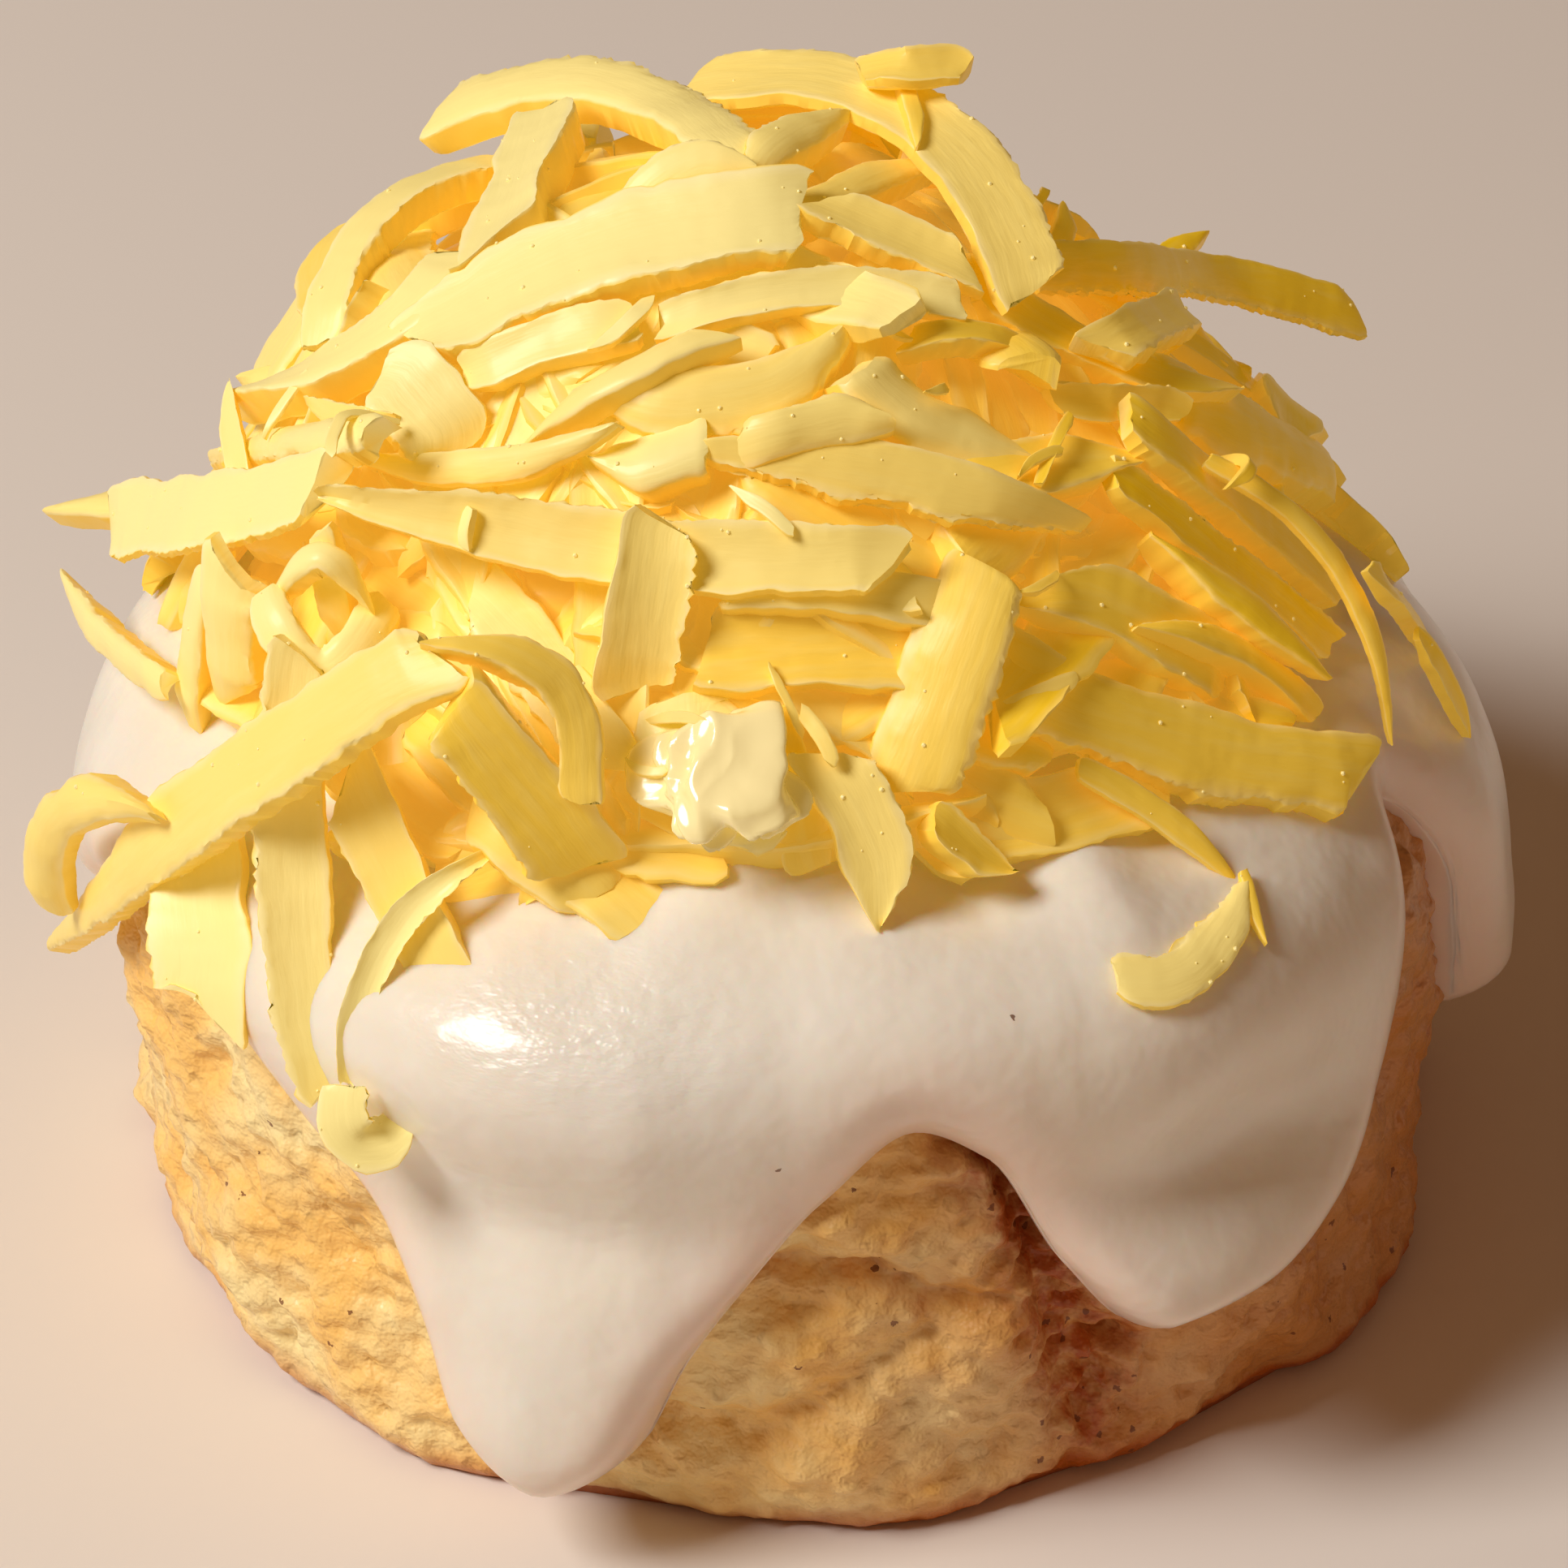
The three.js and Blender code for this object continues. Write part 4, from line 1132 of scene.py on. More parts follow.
class Ground:
    """The uppermost height of all that has been laid so far, over a square grid in plan."""

    reach = 52.0
    cell = 0.5
    size = 208
    heaped = 39.0
    table = 25.0
    clear = 0.3

    def __init__(self, bun: Bun, icing: Icing, mound: Mound, sunk: float = 0.0) -> None:
        """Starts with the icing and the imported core.

        Args:
            bun: The bun.
            icing: The icing.
            mound: The heap's outer form.
            sunk: How much lower the core lies than the loose shreds' depth.
        """
        middles = (np.arange(self.size) + 0.5) * self.cell - self.reach
        x, y = np.meshgrid(middles, middles, indexing="ij")
        away = np.hypot(x, y)
        girth = bun.radius * bun.girth(np.arctan2(x, -y)) + icing.thickness
        crown = bun.height - bun.shoulder + icing.thickness
        share = np.clip(1 - np.minimum(1, away / girth) ** bun.crown_power, 0, 1)
        top = bun.shoulder + crown * share ** (1 / bun.crown_power) + self.clear
        heights = np.maximum(top, mound.height(x, y) - mound.loose - sunk)
        self.heights = np.where(away > bun.radius + icing.thickness, -np.inf, heights)

    def cells(self, points: Array) -> tuple[Array, Array, Array]:
        """Grid places of points, and which of them are on the grid.

        Args:
            points: The points.

        Returns:
            Places along both axes, and whether each is on the grid.
        """
        i, j = (np.floor((points[..., k] + self.reach) / self.cell).astype(int) for k in (0, 1))
        inside = (np.minimum(i, j) >= 0) & (np.maximum(i, j) < self.size)
        return np.where(inside, i, 0), np.where(inside, j, 0), inside

    def under(self, points: Array) -> Array:
        """Height of the ground under points.

        Args:
            points: The points.

        Returns:
            Heights, endlessly low off the grid.
        """
        i, j, inside = self.cells(points)
        return np.where(inside, self.heights[i, j], -np.inf)

    def hollow(self, points: Array, reach: float = 4.0) -> Array:
        """How deep points lie among what has been laid.

        Args:
            points: Points in millimetres.
            reach: The depth that counts as full, and half the width that is averaged.

        Returns:
            0 for points on top, up to 1 in the gaps.
        """
        tops = np.where(np.isfinite(self.heights), self.heights, self.table)
        for axis in (0, 1, 0, 1):
            tops = moving_mean(tops, round(reach / self.cell), axis)
        i, j, _ = self.cells(points)
        heaped = np.clip((self.heaped - np.hypot(points[..., 0], points[..., 1])) / reach, 0, 1)
        return np.clip((tops[i, j] - points[..., 2]) / reach, 0, 1) * heaped

    def raise_to(self, points: Array) -> None:
        """Lifts the ground to points."""
        i, j, inside = self.cells(points)
        np.maximum.at(self.heights, (i[inside], j[inside]), points[..., 2][inside])


class Seat:
    """A place at the table that looks down on the roll's axis."""

    distance = 450.0
    elevation = 36.0
    height = 26.0
    nearest = 380.0
    farthest = 510.0
    stride = 0.5

    def __init__(self, azimuth: float = 0.0) -> None:
        """Places the seat at an azimuth in degrees from the front."""
        turn, tilt = math.radians(azimuth), math.radians(self.elevation)
        flat = math.cos(tilt)
        self.right = np.array([math.cos(turn), math.sin(turn), 0])
        self.forward = np.array([-math.sin(turn) * flat, math.cos(turn) * flat, -math.sin(tilt)])
        self.up = np.cross(self.right, self.forward)
        self.eye = np.array([0, 0, self.height]) - self.forward * self.distance

    def point(self, sight: Array, depth: Array) -> Array:
        """Points on lines of sight.

        Args:
            sight: Rows of millimetres right of and above the point looked at.
            depth: Depths, of a shape that fits.

        Returns:
            Points.
        """
        depth = np.asarray(depth, dtype=float)[..., None]
        return (
            self.eye + self.forward * depth
            + self.right * (sight[..., 0:1] * depth / self.distance)
            + self.up * (sight[..., 1:2] * depth / self.distance)
        )

    def depths(self, sights: Array, ground: Ground) -> Array:
        """How far away the ground is along lines of sight, infinite where they pass it by.

        Args:
            sights: Rows of millimetres right of and above the point looked at.
            ground: The ground.

        Returns:
            One depth for each.
        """
        steps = np.arange(self.nearest, self.farthest, self.stride)
        places = self.point(sights[..., None, :], np.broadcast_to(steps, (*sights.shape[:-1], len(steps))))
        hit = places[..., 2] <= ground.under(places)
        return np.where(hit.any(axis=-1), steps[np.argmax(hit, axis=-1)], np.inf)


def taut(depths: Sequence[float], steepest: float, far: float) -> Array:
    """The greatest convex row that nowhere exceeds the given one: a strip pulled taut.

    Args:
        depths: Depths, infinite where nothing lies below.
        steepest: Steepest slope of an end that sticks out, for each step.
        far: The depth taken where there is nothing at all.

    Returns:
        The row.
    """
    hull: list[tuple[int, float]] = []
    for i, depth in enumerate(depths):
        if math.isinf(depth):
            continue
        while len(hull) > 1:
            (ai, ad), (bi, bd) = hull[-2:]
            if (bi - ai) * (depth - ad) - (bd - ad) * (i - ai) > 0:
                break
            hull.pop()
        hull.append((i, float(depth)))
    if not hull:
        return np.full(len(depths), far)
    slopes = [(b[1] - a[1]) / (b[0] - a[0]) for a, b in zip(hull, hull[1:])] or [0.0]
    first, last = (float(np.clip(slope, -steepest, steepest)) for slope in (slopes[0], slopes[-1]))
    places = np.arange(len(depths))
    row = np.interp(places, *zip(*hull))
    row = np.where(places < hull[0][0], hull[0][1] + first * (places - hull[0][0]), row)
    return np.where(places > hull[-1][0], hull[-1][1] + last * (places - hull[-1][0]), row)


@dataclass
class Laid:
    """A shred in its place: rows of points, directions and half widths along its middle.

    Attributes:
        lean_back: How far high shreds turn their faces up from where they were laid.
        lean_from: Height from which they do.
        lean_over: How much higher they do so in full.
    """

    shred: Shred
    at: Array
    along: Array
    out: Array
    across: Array
    half: Array

    lean_back = 0.55
    lean_from = 38.0
    lean_over = 8.0
    near_end = (0, 0.012, 0.035, 0.07, 0.11)

    def settled(self, roll: Iterator[float], twist: float) -> "Laid":
        """The shred as it looks: bent smoothly, twisted a little, with one edge straighter.

        Args:
            roll: Numbers for its differences.
            twist: Largest twist of an end, in degrees.

        Returns:
            The changed shred, with more rows near its ends.
        """
        near = np.array(self.near_end)
        places = np.concatenate([near, np.linspace(0.16, 0.84, 11), 1 - near[::-1]])
        at = self.at.copy()
        for _ in range(2):
            at[1:-1] = 0.25 * at[:-2] + 0.5 * at[1:-1] + 0.25 * at[2:]
        high = np.clip((self.at[:, 2] - self.lean_from) / self.lean_over, 0, 1)
        risen = self.out + np.array([0, 0, 1.0]) * (self.lean_back * high)[:, None]
        at, along, out = (through(rows, places) for rows in (at, self.along, risen))
        along = unit(along)
        out = upright(out, along)
        across = np.cross(along, out)
        full = self.shred.width / 2
        half = full * np.minimum(self.shred.first.taper(places), self.shred.last.taper(1 - places))
        lean = between(roll, -1, 1)
        lean = math.copysign(0.5 + 0.5 * abs(lean), lean)
        at = at + across * (lean * (full - half))[:, None]
        ends = [math.radians(twist) * between(roll, -1, 1) for _ in range(2)]
        angle = np.linspace(*ends, len(at))[:, None]
        turned = out * np.cos(angle) + across * np.sin(angle)
        across = across * np.cos(angle) - out * np.sin(angle)
        return Laid(self.shred, at, along, turned, across, half)


@dataclass
class Layer:
    """Lays shreds one on another as gravity and the hand that strewed them would.

    Attributes:
        bedding: How far shreds press into what lies below.
        tip: Share of the length over which an end narrows.
        overhang: Steepest slope of an end that sticks out.
        stiffness: How much a shred stays straight.
        facing: How much a shred turns towards the seat.
        heaps: Whether each shred becomes part of the ground.
    """

    ground: Ground
    mound: Mound
    thickness: float = 1.6
    bedding: float = 0.6
    tip: float = 0.4
    overhang: float = 0.5
    stiffness: float = 0.35
    facing: float = 0.5
    steps: int = 12
    heaps: bool = True

    def lay(self, shred: Shred, seat: Seat) -> Laid:
        """Lays one shred and makes it part of the ground.

        Args:
            shred: The shred as it is seen.
            seat: Where it is seen from.

        Returns:
            The shred in its place.
        """
        t = np.linspace(0, 1, self.steps + 1)
        start = np.array(shred.start)
        run = np.array(shred.end) - start
        length = float(np.hypot(*run))
        left = np.array([-run[1], run[0]]) / length
        middle = start + run * t[:, None] + left * (4 * t * (1 - t) * shred.bow)[:, None]
        sides = np.array([-0.3, 0, 0.3]) * shred.width
        sights = middle[:, None, :] + left * sides[None, :, None]
        clear = seat.depths(sights, self.ground).min(axis=1)
        draped = taut(clear, self.overhang * length / self.steps, seat.distance)
        line = draped[0] + (draped[-1] - draped[0]) * t
        straight = line - (line - draped).max()
        depth = draped + (straight - draped) * self.stiffness - self.thickness / 2 + self.bedding
        at = seat.point(middle, depth)
        along = unit(np.concatenate([[at[1] - at[0]], at[2:] - at[:-2], [at[-1] - at[-2]]]))
        out = self.mound.normal(at) * (1 - self.facing) + unit(seat.eye - at) * self.facing
        out = upright(out, along)
        first, last = (
            tip.breadth + (1 - tip.breadth) * np.minimum(1, places / self.tip)
            for tip, places in ((shred.first, t), (shred.last, 1 - t))
        )
        laid = Laid(shred, at, along, out, np.cross(along, out), shred.width / 2 * np.minimum(first, last))
        if self.heaps:
            self.cover(laid)
        return laid

    def cover(self, laid: Laid) -> None:
        """Lifts the ground to the top of a laid shred.

        Args:
            laid: The shred.
        """
        side = np.linspace(-1, 1, 17)[None, :]
        for i in range(self.steps):
            steps = math.ceil(float(np.linalg.norm(laid.at[i + 1] - laid.at[i])) / Ground.cell) + 1
            t = (np.arange(steps + 1) / steps)[:, None]
            middle = laid.at[i] * (1 - t) + laid.at[i + 1] * t + laid.out[i] * self.thickness / 2
            half = laid.half[i] * (1 - t) + laid.half[i + 1] * t
            self.ground.raise_to(middle[:, None, :] + (half * side)[..., None] * laid.across[i])


@dataclass(frozen=True)
class Strewing:
    """Sizes of the shreds that are strewn at random, and where they fall as seen from a seat.

    Attributes:
        short: Shortest length.
        long: Longest length.
        narrow: Smallest width.
        broad: Greatest width.
        bow: Greatest bow to either side.
        above: How far above the point looked at their middle lies.
        half_width: Half the width of the oval they fall in.
        half_height: Half its height.
        pointed: Share of the ends that are pointed.
        heading: Steepest heading, in half turns.
    """

    short: float = 12.0
    long: float = 27.0
    narrow: float = 3.5
    broad: float = 5.5
    bow: float = 2.0
    above: float = 4.0
    half_width: float = 20.0
    half_height: float = 18.0
    pointed: float = 0.4
    heading: float = 0.4

    def draw(self, seat: Seat, mound: Mound, roll: Iterator[float]) -> Shred:
        """Draws one shred.

        Args:
            seat: Where it is seen from.
            mound: The heap's form.
            roll: The numbers.

        Returns:
            The shred.
        """
        out, turn = math.sqrt(next(roll)), next(roll) * FULL_TURN
        x = mound.x * seat.right[0] + mound.y * seat.right[1] + self.half_width * out * math.cos(turn)
        y = self.above + self.half_height * out * math.sin(turn)
        heading = between(roll, -self.heading, self.heading) * math.pi
        half = between(roll, self.short, self.long) / 2
        dx, dy = half * math.cos(heading), half * math.sin(heading)
        first = Tip.POINTED if next(roll) < self.pointed else Tip.BLUNT
        last = Tip.POINTED if next(roll) < self.pointed else Tip.TORN
        width = between(roll, self.narrow, self.broad)
        bow = between(roll, -self.bow, self.bow)
        return Shred((x - dx, y - dy), (x + dx, y + dy), bow, width, first, last)


TIPS = {"p": Tip.POINTED, "t": Tip.TORN, "b": Tip.BLUNT}


def shreds(*rows: tuple) -> tuple[Shred, ...]:
    """Reads a table of shreds seen from the front.

    Args:
        rows: For each, x and y of its start and of its end, bow, width, a letter for each tip, and its
            cut if it is no plain strip.

    Returns:
        The shreds.
    """
    return tuple(Shred(row[:2], row[2:4], *row[4:6], *(TIPS[tip] for tip in row[6]), *row[7:]) for row in rows)


FRONT_SHREDS = shreds(
    (-17.5, 38, -28.5, 27, -3, 3, "bb"),
    (-33.5, 24, -20, 32.5, -2, 3.5, "pb"),
    (-2, 33, 9.5, 38.5, 0.5, 2.5, "pp"),
    (16.5, 32, 17.5, 35.5, 0, 1.5, "bp"),
    (21, 30, 25.5, 34, 0, 2, "bp"),
    (15.5, 31.5, 35, 28.5, 1, 3, "bb"),
    (23, 24, 33, 19, 0, 5, "bb"),
    (11.5, 31, 28.5, 23, -1, 3, "bp"),
    (19, 26.5, 24.5, 29, 0, 3, "tb", Cut.FRESH),
    (-5.5, 42.5, 15, 30, 5.5, 5, "bb", Cut.FRESH),
    (7, 44.5, 8.5, 39, 0, 1, "pp", Cut.FRESH),
    (5, 43.5, 11, 44, 0, 2.5, "bt", Cut.FRESH),
    (-21, 41, -2.5, 38, 3.5, 4, "bb", Cut.FRESH),
    (-14.5, 41, -18.5, 30.5, 0, 4.5, "bp", Cut.FRESH),
    (-3, 37.5, 3, 41, 0, 3, "pp", Cut.FRESH),
    (-9.5, 35, -1.5, 38, 1.5, 2.5, "bp"),
    (2, 35.5, 11.5, 31.5, 0, 3, "bb", Cut.FRESH),
    (-7.5, 28, 11, 29.5, 1.5, 2.5, "bb", Cut.FRESH),
    (-22.5, 26.5, 1, 35, 2, 6, "tb"),
    (-19.5, 25, -9, 28, 0.5, 3, "tb"),
    (-10.5, 24, 4.5, 27, -2, 4, "tp"),
    (-16, 21, -4, 27.5, 0.5, 2, "pb"),
    (-24, 25.5, -20.5, 21, 0, 5.5, "tt"),
    (7.5, 27, 16.5, 25, 1.5, 2, "bb"),
    (4.5, 25.5, 15.5, 20.5, -1.5, 4, "bp", Cut.FRESH),
    (16.5, 23.5, 24.5, 23, 0, 2, "bt", Cut.FRESH),
    (11.5, 19, 21, 21, -0.5, 3.5, "bp", Cut.FRESH),
    (-5, 19, 18, 14.5, 2, 3.5, "pp"),
    (20, 19, 33.5, 8.5, 0, 2.5, "bb"),
    (21, 22.5, 34, 11.5, 0, 3, "bb"),
    (-2.5, 21, 6.5, 23, 0, 3, "bp"),
    (-11.5, 18.5, -4.5, 21, 0, 3.5, "pb"),
    (-26.5, 19.5, -10, 21.5, -1, 2, "pp"),
    (-29.5, 23, -24, 22, 0, 1.5, "pp"),
    (-34.5, 20, -25, 21.5, 0, 2.5, "pb"),
    (-34.5, 24.5, -33, 16, 0, 1.5, "pb"),
    (-45, 17.5, -34, 16.5, 0, 2.5, "pb"),
    (-41, 16, -28.5, 18, -0.5, 4.5, "bb", Cut.FRESH),
    (10.5, 3.5, 16, 2, 0, 4, "tt"),
    (14, 12, 27, 6.5, 1, 4.5, "pb"),
    (21.5, 10, 32.5, 4.5, 1, 2, "pb"),
    (22, 14.5, 33, 6, 1, 2.5, "pp"),
    (-5, 8, 9, 8.5, 0, 5, "bb", Cut.RIPE),
    (-3.5, 12, 10.5, 10.5, 0.5, 3, "bb"),
    (-35, 14, -36.5, 4, -0.5, 2, "bb"),
    (-34, 13.5, -33.5, 5.5, 0, 4, "bb"),
    (-28.5, 15.5, -27, 9, 0, 2, "bb"),
    (-31, 10.5, -26, 10.5, 3.5, 2, "pp"),
    (-32, 11.5, -24.5, 11, -4.5, 2.5, "bb"),
    (-44.5, 12.5, -38, 6, -0.5, 2, "pb"),
    (-19, 11.5, -10.5, 1, 0.5, 4, "bb"),
    (-28, 19, 6.5, 13.5, -2, 4, "pb", Cut.RIPE),
    (-7.5, 16, -9, 6, 0, 4.5, "bb"),
    (13, 7, 35.5, 0.5, -1.5, 5, "bb"),
    (12.5, 13, 7.5, -0.5, 0, 5.5, "bb"),
    (-1, 4.5, 1.5, -5, 0, 3, "bb"),
    (2.5, 2, 7, -8.5, 0.5, 4, "bp"),
    (9, -2, 13.5, -6, 0, 2.5, "bp"),
    (-7, 4.5, -0.5, -2, 0, 6.5, "tt", Cut.SHAVING),
    (-36, -2.5, -36, -14.5, 0, 6, "bt", Cut.SHAVING),
    (-29.5, 8, -28.5, -18.5, -1, 4, "bt"),
    (-27, 0.5, -20.5, -13, 0, 4, "bb"),
    (-44.5, -9, -21, 8, 1, 5, "pb"),
    (-38.5, -1, -45, -7.5, -3.5, 3, "pb"),
    (-17.5, -3.5, -27, -18.5, -2.5, 2, "pt", Cut.SHAVING),
    (-27, -18.5, -23, -21.5, -2.5, 3, "bt", Cut.SHAVING),
    (-18.5, -1.5, -11.5, -7, 0, 4, "bb"),
    (-20.5, 5, -12.5, -5, 0, 5, "bb", Cut.RIPE),
    (-22, 7.5, -12.5, -1, 4.5, 2.5, "pb", Cut.RIPE),
    (18.2, 1, 28.1, -5.8, 0.4, 1.5, "bp", Cut.THREAD),
    (26, 20, 37, 2.5, 3.5, 1.3, "bp", Cut.THREAD),
    (36, 13.5, 40, 8.5, 0, 2, "tp", Cut.THREAD),
    (39, 9, 42, 2.5, 0.4, 1.6, "tp", Cut.THREAD),
)

TUCKED_SHREDS = shreds(
    (-24, 9, -14.5, -2, 1, 3.5, "bb"),
    (-16.5, 6, -13, -4.5, 0.5, 3.5, "bt"),
    (-22, 4, -8.5, -8.5, -0.5, 4.5, "bb"),
    (-12, 7, -6, -3, -0.8, 3, "bt"),
    (-12, 3, -3, -3.5, 1, 3.5, "tb"),
    (-5, 7, -4.5, -4.5, 0.6, 3.5, "bt"),
    (-2.5, 6, 1.5, -4.8, 0.5, 2.5, "bt"),
    (0, 3, 12, 0, 0.5, 3.5, "tb"),
    (3, 6, 7.5, -4.5, -0.6, 3.5, "bt"),
    (5.5, 1, 12.5, -3.5, 0.5, 3.5, "bt"),
    (7, 4, 14, 0.5, 1, 3.5, "bp"),
    (14, 7.5, 25, 3, 1, 3.5, "bb"),
    (22, 8, 31, 3, -0.8, 3, "bt"),
    (-8, 9, 6, 7, 0.6, 3.5, "bb"),
    (-28, 13, -18, 3, 0.6, 3.5, "tb"),
    (-33, 10, -26, 1, 0.5, 3, "bt"),
)

CURLED_SHREDS: tuple[tuple[Shred, Table], ...] = (
    (
        Shred((27.7, -6.2), (20.3, -12), 0, 3.1, Tip.POINTED, Tip.TORN, Cut.SHAVING),
        ((27.7, -6.2), (27.2, -8.4), (26.1, -10.6), (24.2, -12.2), (21.9, -12.5), (20.4, -11.8)),
    ),
    (
        Shred((28, -5.6), (29.1, -10), 0, 0.7, Tip.BLUNT, Tip.POINTED, Cut.THREAD),
        ((28, -5.6), (28.4, -6.9), (28.6, -8.2), (29.1, -10)),
    ),
)


# ------------------------------------------------------------------ strips and crumbs


class Loom(Canvas):
    """A canvas for geometry, which stores and reads values by name."""

    def read(self, name: str, kind: str = "FLOAT") -> Socket:
        """Reads a named attribute."""
        return self.add("GeometryNodeInputNamedAttribute", {"Name": name}, data_type=kind).outputs["Attribute"]

    def store(self, geometry: Socket, name: str, value: Value, kind: str = "FLOAT") -> Socket:
        """Stores a named attribute on points.

        Args:
            geometry: What it is stored on.
            name: Its name.
            value: Its value.
            kind: FLOAT or FLOAT_VECTOR.

        Returns:
            The changed geometry.
        """
        inputs = {"Geometry": geometry, "Name": name, "Value": value}
        return self.add("GeometryNodeStoreNamedAttribute", inputs, data_type=kind, domain="POINT").outputs[0]

    def real(self, geometry: Socket) -> Socket:
        """Makes instances real."""
        return self.add("GeometryNodeRealizeInstances", {0: geometry}).outputs[0]

    def near(self, name: str, reach: float) -> Socket:
        """1 at an end of the strip, falling to 0 at some distance from it."""
        inputs = {"Value": self.read(name), "From Min": 0.0, "From Max": reach * MM, "To Min": 1.0, "To Max": 0.0}
        return self.add("ShaderNodeMapRange", inputs, interpolation_type="SMOOTHSTEP").outputs[0]

    def uneven(self, place: Socket, size: Value, detail: float = 2.0) -> Socket:
        """Noise round 0, of features of a size in metres."""
        return self.minus(self.noise(place, self.math("DIVIDE", 1.0, size), detail).outputs[0], 0.5)


class GeometryTree:
    """A geometry node tree with named inputs."""

    name = "tree"
    inputs: Sockets = {}

    def build(self, material: bpy.types.Material) -> bpy.types.NodeTree:
        """Makes the tree, which ends in real geometry with a material.

        Args:
            material: The finish.

        Returns:
            The tree.
        """
        inputs = {"Geometry": (GEOMETRY, None), **self.inputs}
        loom, given, result = Loom.group(self.name, "GeometryNodeTree", inputs, "Geometry")
        grown = self.grow(loom, given)
        dressed = loom.add("GeometryNodeSetMaterial", {"Geometry": grown, "Material": material}).outputs[0]
        loom.end(dressed, result, "Geometry")
        return loom.tree

    def grow(self, loom: Loom, given: Value) -> Socket:
        """Adds the nodes that make the geometry.

        Args:
            loom: The tree's canvas.
            given: The sockets of its inputs.

        Returns:
            The real geometry.
        """
        raise NotImplementedError


class CrumbTree(GeometryTree):
    """Strews crumbs over the tops of strips."""

    name = "crumbs"
    inputs: Sockets = {
        "Density": (NUMBER, 60000.0),
        "Smallest": (NUMBER, 0.05 * MM),
        "Largest": (NUMBER, 0.17 * MM),
        "Seed": ("NodeSocketInt", 3),
    }

    def grow(self, loom: Loom, given: Value) -> Socket:
        """See GeometryTree.grow."""
        up = loom.add("ShaderNodeSeparateXYZ", {0: loom.add("GeometryNodeInputNormal").outputs[0]}).outputs[2]
        shown = loom.product(loom.math("GREATER_THAN", up, 0.15), loom.math("LESS_THAN", loom.read("depth"), 0.3))
        inputs = {"Mesh": given["Geometry"], "Selection": shown, "Density": given["Density"], "Seed": given["Seed"]}
        spots = loom.add("GeometryNodeDistributePointsOnFaces", inputs).outputs[0]
        crumb = loom.add("GeometryNodeMeshIcoSphere", {"Radius": 1.0, "Subdivisions": 1}).outputs[0]
        inputs = {2: given["Smallest"], 3: given["Largest"], "Seed": given["Seed"]}
        size = loom.add("FunctionNodeRandomValue", inputs, data_type="FLOAT").outputs[1]
        inputs = {0: (0, 0, 0), 1: (6.28, 6.28, 6.28), "Seed": 8}
        turn = loom.add("FunctionNodeRandomValue", inputs, data_type="FLOAT_VECTOR").outputs[0]
        inputs = {"Points": spots, "Instance": crumb, "Rotation": turn, "Scale": size}
        real = loom.real(loom.add("GeometryNodeInstanceOnPoints", inputs).outputs[0])
        for name, value in (("tint", 1.0), ("depth", 0.0), ("edge", 0.8)):
            real = loom.store(real, name, value)
        return real


